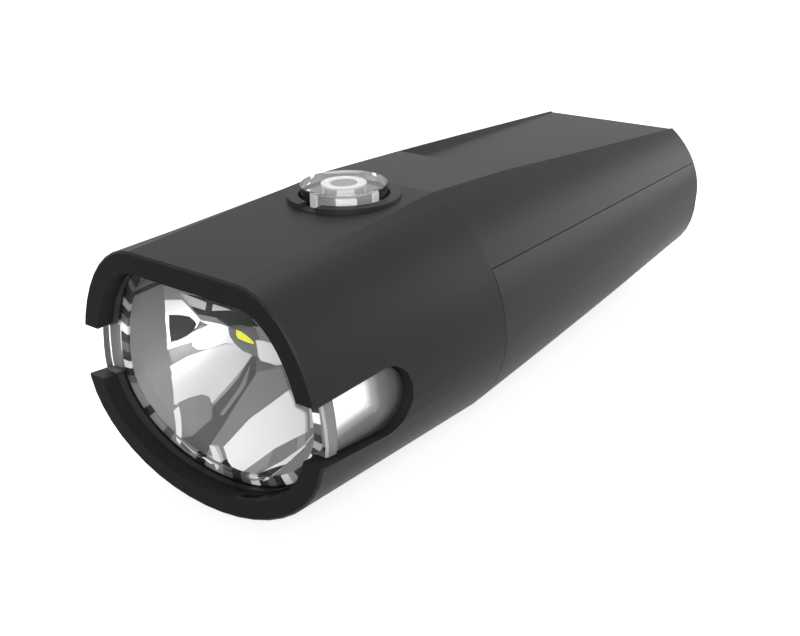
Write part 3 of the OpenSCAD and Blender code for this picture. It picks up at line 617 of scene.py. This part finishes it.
# %% The petals of the left half
left_petals = [
    ("upper_petal", painted_white_reflection, 0.30, [
        (-14.6, 6.1), (-13.2, 5.9), (-12.3, 4.6), (-11.3, 3.3), (-11.5, 2.4), (-12.0, 1.6),
        (-13.2, 1.2), (-13.5, 0.9), (-14.3, 3.7)]),
    ("drop_petal", painted_dark_reflection, 0.45, [
        (-14.0, 4.2), (-13.2, 4.1), (-12.3, 3.8), (-11.7, 3.2), (-11.5, 2.8), (-11.6, 2.1),
        (-12.0, 1.6), (-12.6, 1.2), (-13.2, 1.1), (-13.7, 2.6)]),
    ("bar_petal", painted_pale_reflection, 0.30, [
        (-13.3, 0.2), (-13.5, 0.8), (-11.7, 2.0), (-10.4, 2.7), (-11.3, 1.2), (-11.4, 0.8)]),
    ("strip_petal", painted_dusk_reflection, 0.15, [
        (-13.2, 0.1), (-11.4, 0.8), (-11.0, 0.3), (-9.8, -0.1), (-11.3, -0.6), (-12.4, -1.4)]),
    ("tongue_petal", painted_white_reflection, 0.40, [
        (-11.3, 3.3), (-9.9, 2.9), (-8.4, 2.5), (-7.6, 1.4), (-6.8, 0.5), (-8.1, 0.6),
        (-9.6, 0.0), (-10.5, 0.0), (-11.2, 0.5), (-11.3, 1.2), (-10.9, 1.9), (-10.3, 2.7)]),
    ("edge_petal", painted_white_reflection, 0.20, [
        (-11.9, -2.7), (-12.0, -2.2), (-9.8, -5.5), (-10.2, -5.4)]),
    ("round_petal", painted_grey_reflection, 0.30, [
        (-9.7, -5.4), (-8.9, -5.0), (-7.8, -4.5), (-7.0, -4.7), (-5.3, -6.6), (-6.2, -8.1),
        (-7.2, -8.3), (-8.2, -7.1)]),
    ("sliver_petal", painted_white_reflection, 0.25, [
        (-9.8, -6.0), (-9.6, -5.6), (-8.2, -7.1), (-7.2, -8.4), (-6.9, -8.9), (-7.6, -8.5)]),
    ("brow_petal", painted_pale_reflection, 0.30, [
        (-13.4, 6.8), (-11.0, 5.3), (-11.0, 4.4), (-12.5, 5.1)]),
    ("brow_shade_petal", painted_dark_reflection, 0.26, [
        (-13.0, 6.5), (-11.3, 5.8), (-9.1, 4.8), (-6.7, 3.9), (-5.5, 2.6), (-7.3, 2.3),
        (-8.8, 3.2), (-10.4, 3.6), (-11.7, 4.0), (-12.7, 5.4)]),
    ("notch_petal", painted_dark_reflection, 0.35, [
        (-11.0, 5.3), (-10.4, 5.1), (-10.5, 3.7), (-11.0, 3.9)]),
    ("tip_petal", painted_pale_reflection, 0.30, [
        (-10.4, 5.1), (-8.5, 4.3), (-10.4, 4.3)]),
    ("shade_petal", painted_dark_reflection, 0.20, [
        (-9.8, 3.3), (-9.1, 3.8), (-7.5, 4.0), (-6.3, 3.3), (-5.1, 2.5), (-8.3, 2.4)]),
]
leaf = [
    (-12.4, -1.6), (-11.3, -0.7), (-9.8, -0.1), (-8.1, 0.5), (-6.6, 0.5), (-4.5, -0.3),
    (-4.9, -1.8), (-6.3, -5.3), (-7.0, -4.7), (-7.9, -4.5), (-9.0, -4.8), (-9.9, -5.3)]
petals = [raise_petal(*row) for row in left_petals]
petals += [raise_petal("right_" + name, coat, push, [(-x, z) for x, z in corners])
           for name, coat, push, corners in left_petals]
petals.append(raise_petal("leaf_petal", painted_leaf_reflection, 0.35, leaf))
print(len(petals), "petals")

# %% The petals of the middle and the right half
middle_petals = [
    ("ridge_petal", painted_dim_reflection, 0.15, [
        (-4.5, -0.3), (-3.8, -0.5), (-3.5, -1.1), (-3.2, -2.2), (-3.5, -5.0), (-3.7, -8.4),
        (-3.4, -9.3), (-5.4, -9.4), (-6.9, -8.9), (-7.3, -8.3), (-6.2, -8.1), (-5.4, -6.6),
        (-6.0, -5.8), (-6.0, -5.0), (-4.9, -1.8)]),
    ("cone_petal", painted_grey_reflection, 0.20, [
        (-3.6, -0.9), (-1.4, -0.5), (2.6, -2.6), (-0.8, -5.9), (-1.7, -8.5), (-3.6, -8.5),
        (-3.5, -5.0), (-3.1, -2.2)]),
    ("broad_petal", painted_glint, 0.40, [
        (-1.7, -8.5), (-0.7, -6.0), (2.7, -2.6), (4.2, -3.1), (5.1, -3.4), (7.6, -3.0),
        (9.7, -3.8), (5.6, -6.8), (3.0, -9.4), (1.1, -9.5), (0.1, -9.3)]),
    ("wedge_petal", painted_pale_reflection, 0.25, [
        (3.0, -9.4), (5.6, -6.8), (9.8, -3.8), (10.8, -4.3), (9.4, -5.5), (4.6, -9.3)]),
    ("long_petal", painted_glint, 0.35, [
        (5.9, -8.5), (8.3, -6.7), (10.8, -4.3), (11.0, -4.5), (9.2, -6.6)]),
    ("low_petal", painted_dark_reflection, 0.30, [
        (4.7, -9.3), (6.1, -8.5), (9.6, -6.2), (7.6, -8.3)]),
    ("glow_petal", painted_white_reflection, 0.38, [
        (-5.0, 1.1), (-4.0, 1.1), (-1.4, 0.9), (0.5, -0.6), (-0.8, -1.0), (-3.1, -0.9),
        (-4.1, -0.2)]),
    ("upper_cone_petal", painted_dusk_reflection, 0.24, [
        (-4.1, -0.2), (-3.1, -0.9), (-0.8, -1.0), (0.5, -0.6), (-1.2, -1.5), (-3.2, -2.1)]),
    ("shard_petal_1", painted_white_reflection, 0.50, [
        (-3.5, -8.6), (-2.7, -8.6), (-0.8, -9.4), (-0.6, -10.1)]),
    ("shard_petal_2", painted_white_reflection, 0.50, [
        (-3.4, -9.5), (-2.7, -9.4), (-1.4, -9.7), (-1.9, -9.8)]),
    ("shard_petal_3", painted_dark_reflection, 0.50, [
        (-0.7, -9.7), (-0.4, -9.3), (1.9, -9.6), (1.4, -9.8)]),
    ("streak_petal_1", painted_grey_reflection, 0.30, [
        (-4.7, -6.2), (-4.2, -3.4), (-4.3, -1.5), (-3.6, -3.5), (-4.2, -6.2)]),
    ("streak_petal_2", painted_pale_reflection, 0.30, [
        (-6.3, -5.1), (-5.7, -4.0), (-4.8, -0.9), (-4.9, -2.9), (-6.0, -5.5)]),
    ("right_leaf_petal", painted_leaf_reflection, 0.35, [
        (12.4, -1.6), (11.3, -0.7), (9.8, -0.1), (8.1, 0.5), (6.6, 0.5), (4.5, -0.3), (3.6, -1.8),
        (7.6, -2.4), (10.2, -3.2)]),
    ("crown_petal", painted_pale_reflection, 0.25, [
        (-1.0, 0.2), (3.2, 0.6), (3.4, -1.4), (2.6, -2.2), (-0.6, -0.4)]),
]
petals += [raise_petal(*row) for row in middle_petals]
print(len(petals), "petals")

# %% [markdown]
# ### The emitter's pocket
# The emitter looks down into the bowl, so from the front left it can only be seen in a mirror. A
# flat grey facet is turned half way between emitter and viewer, and on it lies a small hollow
# mirror. A hollow mirror enlarges what is near it, so the yellow of the emitter fills its shape.

# %% Pocket and mirror
POCKET_MIDDLE = Vector((-5.97, 13.81, 1.45))
POCKET_NORMAL = Vector((0.664, -0.379, 0.644)).normalized()
POCKET_WALL = 1.2


def lay_facet(name, coat, corners, cuts, raised, hollow):
    """A facet on the pocket's plane, raised from it and hollowed to a radius, in millimetres."""
    facet = flat_polygon(name, corners)
    if cuts:
        cut_up(facet, cuts)
    for v in facet.data.vertices:
        from_middle = (v.co - at(*POCKET_MIDDLE)) / MM
        across = from_middle - POCKET_NORMAL * from_middle.dot(POCKET_NORMAL)
        v.co += POCKET_NORMAL * (raised + across.length_squared / (2 * hollow)) * MM
    close_petal(facet, POCKET_WALL)
    paint(facet, coat)
    return facet


pocket = lay_facet("pocket_facet", painted_grey_reflection, [
    (-7.48, 13.38, 2.75), (-5.41, 16.12, 2.23), (-4.12, 16.08, 0.87), (-3.4, 15.59, -0.15),
    (-3.82, 14.19, -0.54), (-4.35, 13.89, -0.18), (-5.13, 13.33, 0.3), (-6.12, 13.02, 1.14),
    (-6.88, 13.03, 1.92)], 0, 0.0, math.inf)
mirror = lay_facet("hollow_mirror", mirror_coat, [
    (-6.79, 14.05, 2.43), (-6.38, 14.38, 2.2), (-5.84, 14.64, 1.8), (-5.26, 14.84, 1.32),
    (-4.82, 14.92, 0.92), (-4.7, 14.8, 0.72), (-5.3, 14.28, 1.03), (-6.2, 13.64, 1.59),
    (-6.5, 13.7, 1.93)], 5, 0.1, 30.0)
print("hollow mirror:", len(mirror.data.polygons), "faces")

# %% [markdown]
# ### The toothed rim
# Round the lens's edge the real reflector ends in a ring of small steps, which show through the
# lens as light and dark blocks. Steps that small would hardly be seen, so the ring is flat and the
# light and dark of its blocks is painted into their coats as painted reflection. A circle is laid
# on the outer outline and extruded in place, and the new corners move to the inner outline. The
# blocks are then taken in order of their angle, so that the pattern doesn't hang on how the faces
# happen to be numbered.

# %% Toothed rim
TEETH_OUT, TEETH_AT, BLOCKS = 2.95, RIM - 0.25, 16
outer = sleeve_outline(TEETH_OUT, BLOCKS)
inner = sleeve_outline(REFLECTOR_IN, BLOCKS)
teeth = flat_polygon("toothed_rim", [(x, TEETH_AT, z) for x, z in outer], fill="NOTHING")
edit_all(teeth)
bpy.ops.mesh.extrude_region_move(TRANSFORM_OT_translate={"value": (0, 0, 0)})
bpy.ops.object.mode_set(mode="OBJECT")
for v, (x, z) in zip(list(teeth.data.vertices)[len(outer):], inner):
    v.co = at(x, TEETH_AT, z)
face_towards(teeth, (0, -1, 0))
print("rim:", len(teeth.data.polygons), "blocks")

# %% Coats of the blocks
# The light and dark blocks are painted reflection.
for coat in (painted_white_reflection, painted_dim_reflection, painted_dark_reflection, painted_pale_reflection, painted_grey_reflection):
    teeth.data.materials.append(coat)
shaded_blocks = (2, 1, 2)
calm_blocks = (4, 4, 1, 4, 4, 4, 2)
lively_blocks = (0, 2, 3, 2, 1, 0, 2, 1, 2, 0, 3, 2, 2, 1)
in_order = sorted(teeth.data.polygons,
                  key=lambda f: math.atan2(f.center.z + STANDING * MM, f.center.x))
for k, face in enumerate(in_order):
    x, z = face.center.x / MM, face.center.z / MM + STANDING
    blocks = shaded_blocks if z > 9 else calm_blocks if z < -2 and x < 2 else lively_blocks
    face.material_index = blocks[k % len(blocks)]
apply_modifier(teeth, "SOLIDIFY", thickness=0.35 * MM, offset=-1)
print("rim:", len(teeth.data.polygons), "faces")

# %% [markdown]
# ### The bonnet
# Above the bowl a plate, whose dark tone is a painted dim reflection, hides the heat sink and the
# back of the emitter's board. It is a bent grid too: its front row follows the arch of the sleeve's
# top, the next rows come down to the emitter's level, and the rest is a flat plate with a hole for
# the emitter.

# %% Bonnet
BONNET_HALF, BEND_AT = 14.6, 10.9       # half width of the plate, and where the arch ends
arch = [(x, z) for x, z in sleeve_outline(REFLECTOR_IN, BLOCKS) if z > BEAM]
flare, flat_rows = 8, 18
columns, rows = len(arch) - 1, flare + flat_rows
bpy.ops.object.select_all(action="DESELECT")
bpy.ops.mesh.primitive_grid_add(x_subdivisions=columns, y_subdivisions=rows, size=2)
bonnet = bpy.context.object
bonnet.name = "bonnet"
for v in bonnet.data.vertices:
    row = round((v.co.y + 1) / 2 * rows)
    arch_x, arch_z = arch[columns - round((v.co.x + 1) / 2 * columns)]
    x = v.co.x * BONNET_HALF
    part, back = min(row / flare, 1), max(row - flare, 0) / flat_rows
    deep = max(bowl_depth(x, BEAM) + 0.2, BEND_AT)
    y = RIM + (BEND_AT - RIM) * part + (deep - BEND_AT) * back
    v.co = at(arch_x + (x - arch_x) * part, y, arch_z + (BEAM - arch_z) * part)
print("bonnet:", len(bonnet.data.polygons), "faces")

# %% Hole for the emitter
EMITTER_AT, HOLE_X, HOLE_Y = 13.5, 2.2, 2.6
pick_faces(bonnet, lambda f: abs(f.center.x) < HOLE_X * MM
           and abs(f.center.y - at(0, EMITTER_AT, 0).y) < HOLE_Y * MM)
bpy.ops.mesh.delete(type="FACE")
bpy.ops.mesh.select_all(action="SELECT")
bpy.ops.mesh.remove_doubles(threshold=0.000005)
bpy.ops.object.mode_set(mode="OBJECT")
face_towards(bonnet, (0, 0, -1))
# The bonnet's dark tone is a painted dim reflection.
paint(bonnet, painted_dim_reflection)
apply_modifier(bonnet, "SOLIDIFY", thickness=0.3 * MM, offset=-1)
print("bonnet with its hole:", len(bonnet.data.polygons), "faces")

# %% [markdown]
# On the real light bowl, petals, rim and bonnet are one moulding, so they are joined to one
# object. An edge over 24 degrees stays sharp, which keeps the borders of the petals crisp.

# %% One reflector
select_only(*petals, pocket, mirror, teeth, bonnet, bowl)
bpy.ops.object.join()
smooth(bowl, 24)
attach(bowl, "light")
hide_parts("reflector")
print("reflector:", len(bowl.data.polygons), "faces")

# %% [markdown]
# ## The lens
# On the real light a clear plate fills the sleeve and shows its edge in the two side slots, where
# it is frosted; the chamfer's brightness there is a painted highlight. Behind that edge a white
# light guide fills the slot and fades into dark with painted shade. The plate is cut off the lens's
# solid with a bisect, which keeps its outline true. Each face gets one of four finishes by the way
# it faces and by how far out it lies: clear faces, frosted edge, the chamfer's painted highlight,
# and painted shade on the edge where it lies inside the sleeve.

# %% Finishes of the lens's edge
# The bright edge is a painted highlight and the shaded edge painted shade.
frosted_edge = finish_of("frosted_edge", (0.17, 0.17, 0.17), 0.5, grain=5000, bump=0.1, shade=0.06)
chamfer_painted_highlight = finish_of("chamfer_painted_highlight", (0.36, 0.36, 0.36), 0.3, grain=5000, bump=0.05, shade=0.03)
shaded_edge = finish_of("shaded_edge", (0.03, 0.03, 0.03), 0.5, grain=5000, bump=0.05, shade=0.03)
print("edge finishes:", frosted_edge.name, chamfer_painted_highlight.name, shaded_edge.name)

# %% Lens plate
PLATE_BACK = 3.45        # from the front rim to the plate's rear face
SLOT_REACH = 16.4        # the edge shows in a slot where it lies further out than this
plate = working_copy("lens", "lens_plate")
edit_all(plate)
bpy.ops.mesh.bisect(plane_co=at(0, PLATE_BACK, 0), plane_no=(0, 1, 0), use_fill=True,
                    clear_outer=True)
bpy.ops.object.mode_set(mode="OBJECT")
for material in (lens_clear, frosted_edge, chamfer_painted_highlight, shaded_edge):
    plate.data.materials.append(material)
# Edges inside the sleeve get painted shade, the chamfer in the slots a painted highlight.
for face in plate.data.polygons:
    turned = abs(face.normal.y)
    if turned > 0.9:
        face.material_index = 0
    elif abs(face.center.x) <= SLOT_REACH * MM:
        face.material_index = 3
    else:
        face.material_index = 2 if turned > 0.3 else 1
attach(plate, "light")
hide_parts("lens")
print("lens plate:", len(plate.data.polygons), "faces")

# %% [markdown]
# ### The windows in the slots
# A window is a patch with the slot's outline. Each of its corners stores how far it lies from the
# slot's lower and rear edge, and the finish turns that distance into a painted shade: dark at the
# edge, white in the middle, with painted light growing towards the front. A cast shadow could do
# it, but not so soft and not in every light.

# %% Window finish
# The fade of this guide is painted shade, from dark at the slot's edge to white.
guide_with_painted_fade = finish_of("guide_with_painted_fade", (0.9, 0.9, 0.9), 0.35, grain=3000, bump=0.02, shade=0.02)
tree = guide_with_painted_fade.node_tree
store = tree.nodes.new("ShaderNodeAttribute")
store.attribute_name = "depth"
fade = tree.nodes.new("ShaderNodeValToRGB")
for at_place, tone in ((0.0, 0.02), (0.22, 0.03), (0.42, 0.09), (0.58, 0.34), (0.7, 0.9)):
    stop = fade.color_ramp.elements.new(at_place)
    stop.color = (tone, tone, tone, 1)
tree.links.new(store.outputs["Fac"], fade.inputs["Fac"])
tree.links.new(fade.outputs["Color"], tree.nodes["Principled BSDF"].inputs["Base Color"])
print(len(fade.color_ramp.elements), "stops in the fade")

# %% [markdown]
# The outline is a half circle at the rear end, with straight lines to the front. The patch lies
# on the sleeve's side, a millimetre in, so its corners need to know how wide the sleeve is.


# %% Outline of a window
SLOT_REAR, SLOT_HIGH, SLOT_RADIUS, SLOT_GAP = 15.4, 5.4, 4.05, 0.25
SLOT_SIDE = 19.15        # half width of the sleeve at the slots
WINDOW_FRONT, WINDOW_LOW, WINDOW_HIGH = 3.6, -1.25, 5.15
SQUEEZE = 0.62           # lengths along the beam count less, so the fade is wider there


def rear_arc(steps=24):
    """Points (y, z) round the slot's rear end, from its top to a little past its lowest point."""
    middle_y, middle_z = SLOT_REAR - SLOT_RADIUS, SLOT_HIGH - SLOT_RADIUS
    angles = [math.pi / 2 - math.pi * 1.08 * i / steps for i in range(steps + 1)]
    r = SLOT_RADIUS - SLOT_GAP
    return [(middle_y + r * math.cos(a), middle_z + r * math.sin(a)) for a in angles]


def side_at(z, inset):
    """Half width of the sleeve at a height, some way in from its outside."""
    side, top, belly = SLOT_SIDE - inset, SLEEVE_TOP - inset, SLEEVE_BELLY - inset
    if z > 0:
        return SLEEVE_FLAT + (side - SLEEVE_FLAT) * math.cos(math.asin(z / top))
    return side * math.cos(math.asin(z / belly))


def distance(y, z, line):
    """How far the point (y, z) lies from a line of points."""
    best = 99.0
    for (y1, z1), (y2, z2) in zip(line, line[1:]):
        dy, dz = y2 - y1, z2 - z1
        t = max(0, min(1, ((y - y1) * dy + (z - z1) * dz) / (dy * dy + dz * dz)))
        best = min(best, math.hypot(y - y1 - t * dy, z - z1 - t * dz))
    return best


border = rear_arc() + [(WINDOW_FRONT, WINDOW_LOW)]
dark_border = [(15.15, 9.0)] + [(y, z) for y, z in border if y > 15.0 or z < 1.0]
squeezed_border = [(y * SQUEEZE, z) for y, z in dark_border]
print(len(border), "corners,", len(dark_border), "of them on the dark side")


# %% A window
def window_patch(name, hand):
    """A curved plate in the slot of one side; hand is 1 for the side at +X and -1 for the other."""
    window = flat_polygon(name, [(0, y, z) for y, z in border + [(WINDOW_FRONT, WINDOW_HIGH)]])
    cut_up(window, 9)
    depth = window.data.attributes.new("depth", "FLOAT", "POINT")
    for v in window.data.vertices:
        y, z = v.co.y / MM + BODY_LENGTH / 2, v.co.z / MM + STANDING
        # Painted light: the window gets lighter towards the front.
        painted_light_ahead = 0.2 * max(0, 9.5 - y)
        depth.data[v.index].value = (distance(y * SQUEEZE, z, squeezed_border) + painted_light_ahead) / 6
        inset = 1.05 + 0.08 * min(1, distance(y, z, dark_border) / 2)
        v.co = at(hand * side_at(z, inset), y, z)
    face_towards(window, (hand, 0, 0))
    apply_modifier(window, "SOLIDIFY", thickness=1.9 * MM, offset=-1)
    bpy.ops.object.shade_smooth_by_angle(angle=math.radians(40))
    return window


for name, hand in (("near_window", 1), ("far_window", -1)):
    window = window_patch(name, hand)
    paint(window, guide_with_painted_fade)
    window.data.materials.append(frosted_edge)
    for face in window.data.polygons:
        face.material_index = 1 if face.normal.y < -0.8 else 0
    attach(window, "light")
    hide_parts("lens")
    print(name, len(window.data.polygons), "faces")

# %% [markdown]
# ## The push button
# The button is a clear disc with a flange below that keeps it in. A cylinder gives the disc; its
# lower face is drawn out to the flange and then down. The white ring and the pin sit inside the
# clear plastic. A bore round them would leave a film of air, whose reflections would hide the
# ring, so the disc is full: a ray goes from clear plastic straight on to the ring.


# %% Clear button cap
def upright_cylinder(name, sides, radius, low, top, turn=0):
    """A cylinder round the button's axis between two heights, turned by some degrees."""
    bpy.ops.object.select_all(action="DESELECT")
    bpy.ops.mesh.primitive_cylinder_add(
        vertices=sides, radius=radius * MM, depth=(top - low) * MM,
        location=at(0, BUTTON, (top + low) / 2), rotation=(0, 0, math.radians(turn)))
    cylinder = bpy.context.object
    cylinder.name = name
    bpy.ops.object.transform_apply(location=True, rotation=True, scale=True)
    return cylinder


CAP_TOP, CAP_RADIUS = 19.15, 5.45
FLANGE_TOP, FLANGE_LOW, FLANGE_RADIUS = 14.53, 13.53, 6.55
cap = upright_cylinder("clear_button_cap", 128, CAP_RADIUS, FLANGE_TOP, CAP_TOP)
pick_faces(cap, lambda f: f.normal.z < -0.9)
bpy.ops.mesh.extrude_region_move(TRANSFORM_OT_translate={"value": (0, 0, 0)})
bpy.ops.transform.resize(value=[FLANGE_RADIUS / CAP_RADIUS] * 2 + [1],
                         center_override=at(0, BUTTON, FLANGE_TOP))
bpy.ops.mesh.extrude_region_move(
    TRANSFORM_OT_translate={"value": (0, 0, (FLANGE_LOW - FLANGE_TOP) * MM)})
bpy.ops.object.mode_set(mode="OBJECT")
round_edges(cap, 0.12, over=60, segments=3)
smooth(cap, 30)
paint(cap, cap_clear)
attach(cap, "button")
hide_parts("button_cap")
print("cap:", len(cap.data.polygons), "faces")

# %% [markdown]
# ### The core of the button
# The white core inside the clear cap is a ring on a light guide. The guide has eight flats, which
# show through the cap by turns as a painted highlight with a little glow and as painted shade. It
# is an eight-sided cylinder with rounded upright edges, turned so that one flat faces the front
# left.

# %% Light guide
CORE_RADIUS, RING_LOW, RING_TOP = 2.87, 18.2, 19.08
FLAT_TURN = 42           # degrees from straight ahead to the middle of the first flat
guide = upright_cylinder("core_guide", 8, CORE_RADIUS, FLANGE_LOW, RING_LOW, FLAT_TURN + 22.5)
round_edges(guide, 0.35, over=30, segments=3)
# The flats alternate between the painted highlight and the painted shade.
paint(guide, lit_guide_with_glow)
guide.data.materials.append(shaded_guide_paint)
for face in guide.data.polygons:
    away = face.center - at(0, BUTTON, 0)
    way = math.degrees(math.atan2(away.x, -away.y)) - FLAT_TURN
    face.material_index = round(way / 45) % 2
print("guide:", len(guide.data.polygons), "faces")

# %% [markdown]
# The ring is a cylinder whose top is inset and pushed down, so that the grey pin shows in its
# middle. Ring and guide are one moulding and are joined.

# %% White ring
PIN_RADIUS, PIN_BELOW = 1.68, 0.66
ring = upright_cylinder("core_ring", 96, CORE_RADIUS, RING_LOW, RING_TOP)
pick_faces(ring, lambda f: f.normal.z > 0.9)
bpy.ops.mesh.inset(thickness=(CORE_RADIUS - PIN_RADIUS) * MM)
bpy.ops.mesh.extrude_region_move(TRANSFORM_OT_translate={"value": (0, 0, -PIN_BELOW * MM)})
bpy.ops.object.mode_set(mode="OBJECT")
round_edges(ring, 0.1, over=60)
paint(ring, white_guide)
select_only(guide, ring)
bpy.ops.object.join()
smooth(ring, 30)
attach(ring, "button")
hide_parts("button_core")
print("core:", len(ring.data.polygons), "faces")

# %% [markdown]
# ## Small parts that show
# The rubber flap of the charging port, the screws, the heat sink and the socket's shell keep the
# shape of their solids, with rounded edges like real mouldings and pressings. The flap also gets
# what a finger feels on it: a raised frame, and three ribs to get a nail behind. The ribs are
# alike, so one is modelled and then copied twice, each time with a mesh of its own.


# %% A frame and grip ribs on the flap
RIB_LENGTH, RIB_HEIGHT, RIB_WIDTH, RIB_PITCH = 6.0, 0.44, 0.45, 0.9


def frame_the_flap(flap):
    """Insets the outer face, sinks it, and raises ribs for a fingernail again inside it."""
    outer_face = max((f for f in flap.data.polygons if f.normal.y > 0.9), key=lambda f: f.area)
    number = outer_face.index
    pick_faces(flap, lambda f: f.index == number)
    bpy.ops.mesh.inset(thickness=0.9 * MM)
    bpy.ops.mesh.extrude_region_move(TRANSFORM_OT_translate={"value": (0, -0.3 * MM, 0)})
    bpy.ops.object.mode_set(mode="OBJECT")
    sunk = [f for f in flap.data.polygons if f.select]
    low = min(flap.data.vertices[i].co.z for f in sunk for i in f.vertices)
    high = max(flap.data.vertices[i].co.y for f in sunk for i in f.vertices)
    bpy.ops.object.select_all(action="DESELECT")
    bpy.ops.mesh.primitive_cube_add(size=1)
    rib = bpy.context.object
    rib.name = "grip_rib"
    bpy.ops.object.mode_set(mode="EDIT")
    bpy.ops.transform.resize(value=(RIB_LENGTH * MM, RIB_HEIGHT * MM, RIB_WIDTH * MM))
    bpy.ops.transform.translate(value=(0, high + 0.05 * MM, low + RIB_PITCH * MM))
    bpy.ops.object.mode_set(mode="OBJECT")
    ribs = [rib]
    for k in (1, 2):
        copy = rib.copy()
        copy.data = rib.data.copy()
        copy.data.transform(Matrix.Translation((0, 0, RIB_PITCH * k * MM)))
        bpy.context.scene.collection.objects.link(copy)
        ribs.append(copy)
    select_only(*ribs, flap)
    bpy.ops.object.join()
    print("flap framed, with", len(ribs), "ribs")


# %% Flap, screws, heat sink and socket
for node, body, width, finish, slot in (
        ("port_cover", "flap", 0.3, flap_rubber, "port_cover"),
        ("case_screws", "light", 0.12, zinc, "screw_steel"),
        ("heat_sink", "light", 0.15, bare_aluminium, "heat_sink"),
        ("charge_socket", "light", 0.08, steel_shell, "charge_socket")):
    part = working_copy(node, node + "_rounded")
    if node == "port_cover":
        frame_the_flap(part)
    count = round_edges(part, width, over=35)
    smooth(part, 30)
    paint(part, finish)
    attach(part, body)
    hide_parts(node)
    print(node, count, "edges rounded")

# %% [markdown]
# ## Floor and world
# The photograph is a product shot on pure white. The floor is a broad pale plane. A ray from the
# camera, or one that a shiny or clear surface sends on, sees floor and world as white; the light
# that they give to the object is weaker than that, so that black plastic stays black. The floor's
# white is a glow on top of its own lit colour, so the object's shadow still shows on it.


# %% Who sees white
def seen_directly(tree):
    """A socket that is 1 for camera, transmission and glossy rays, and 0 for all others."""
    rays = tree.nodes.new("ShaderNodeLightPath")
    socket = rays.outputs["Is Camera Ray"]
    for name in ("Is Transmission Ray", "Is Glossy Ray"):
        either = tree.nodes.new("ShaderNodeMath")
        either.operation = "MAXIMUM"
        tree.links.new(socket, either.inputs[0])
        tree.links.new(rays.outputs[name], either.inputs[1])
        socket = either.outputs[0]
    return socket


# %% Floor
FLOOR_TONE, FLOOR_GLOW = 0.6, 0.68
bpy.ops.object.select_all(action="DESELECT")
bpy.ops.mesh.primitive_plane_add(size=6, location=(0, 0, -0.2 * MM))
floor = bpy.context.object
floor.name = "floor"
floor_paint = bpy.data.materials.new("floor_paint")
floor_paint.use_nodes = True
tree = floor_paint.node_tree
shader = tree.nodes["Principled BSDF"]
set_inputs(shader, Base_Color=(FLOOR_TONE, FLOOR_TONE, FLOOR_TONE, 1), Roughness=0.9)
glow = tree.nodes.new("ShaderNodeEmission")
set_inputs(glow, Color=(1, 1, 1, 1))
dimmer = tree.nodes.new("ShaderNodeMath")
dimmer.operation = "MULTIPLY"
dimmer.inputs[1].default_value = FLOOR_GLOW
tree.links.new(seen_directly(tree), dimmer.inputs[0])
tree.links.new(dimmer.outputs[0], glow.inputs["Strength"])
both = tree.nodes.new("ShaderNodeAddShader")
tree.links.new(shader.outputs[0], both.inputs[0])
tree.links.new(glow.outputs[0], both.inputs[1])
tree.links.new(both.outputs[0], tree.nodes["Material Output"].inputs["Surface"])
paint(floor, floor_paint)
print("floor", tuple(floor.dimensions))

# %% World
ROOM_LIGHT = 0.45
world = bpy.data.worlds.new("world")
bpy.context.scene.world = world
world.use_nodes = True
tree = world.node_tree
room = tree.nodes["Background"]
set_inputs(room, Color=(1, 1, 1, 1), Strength=ROOM_LIGHT)
plain_white = tree.nodes.new("ShaderNodeBackground")
set_inputs(plain_white, Color=(1, 1, 1, 1), Strength=1.0)
mixer = tree.nodes.new("ShaderNodeMixShader")
tree.links.new(seen_directly(tree), mixer.inputs[0])
tree.links.new(room.outputs[0], mixer.inputs[1])
tree.links.new(plain_white.outputs[0], mixer.inputs[2])
tree.links.new(mixer.outputs[0], tree.nodes["World Output"].inputs["Surface"])
print("world set, room light", ROOM_LIGHT)

# %% [markdown]
# ## Lamps
# Three round area lamps make the soft studio light. The one above and behind lights the top and
# draws the bright line of its edge. The one at the front lights the reflector through the lens
# and leaves the rim dark. The low one at the side rear brightens the tail's flank, which in the
# photograph is lighter than the sleeve's. A few big lamps give softer edges than many small ones.


# %% Lamps
def soft_lamp(name, place, target, size, power):
    """A round area lamp that points from its place at a target."""
    data = bpy.data.lights.new(name, "AREA")
    data.shape = "DISK"
    data.size = size
    data.energy = power
    lamp = bpy.data.objects.new(name, data)
    bpy.context.scene.collection.objects.link(lamp)
    lamp.location = place
    lamp.rotation_mode = "QUATERNION"
    lamp.rotation_quaternion = (Vector(target) - Vector(place)).to_track_quat("-Z", "Y")


soft_lamp("top_lamp", (-0.15, 0.25, 0.7), (0, 0, 0), 0.5, 3.4)
soft_lamp("front_lamp", (0.45, -0.55, 0.35), (0, 0, 0.01), 0.4, 4.2)
soft_lamp("side_lamp", (0.42, 0.88, 0.2), (0, 0.03, 0.01), 0.5, 2.9)
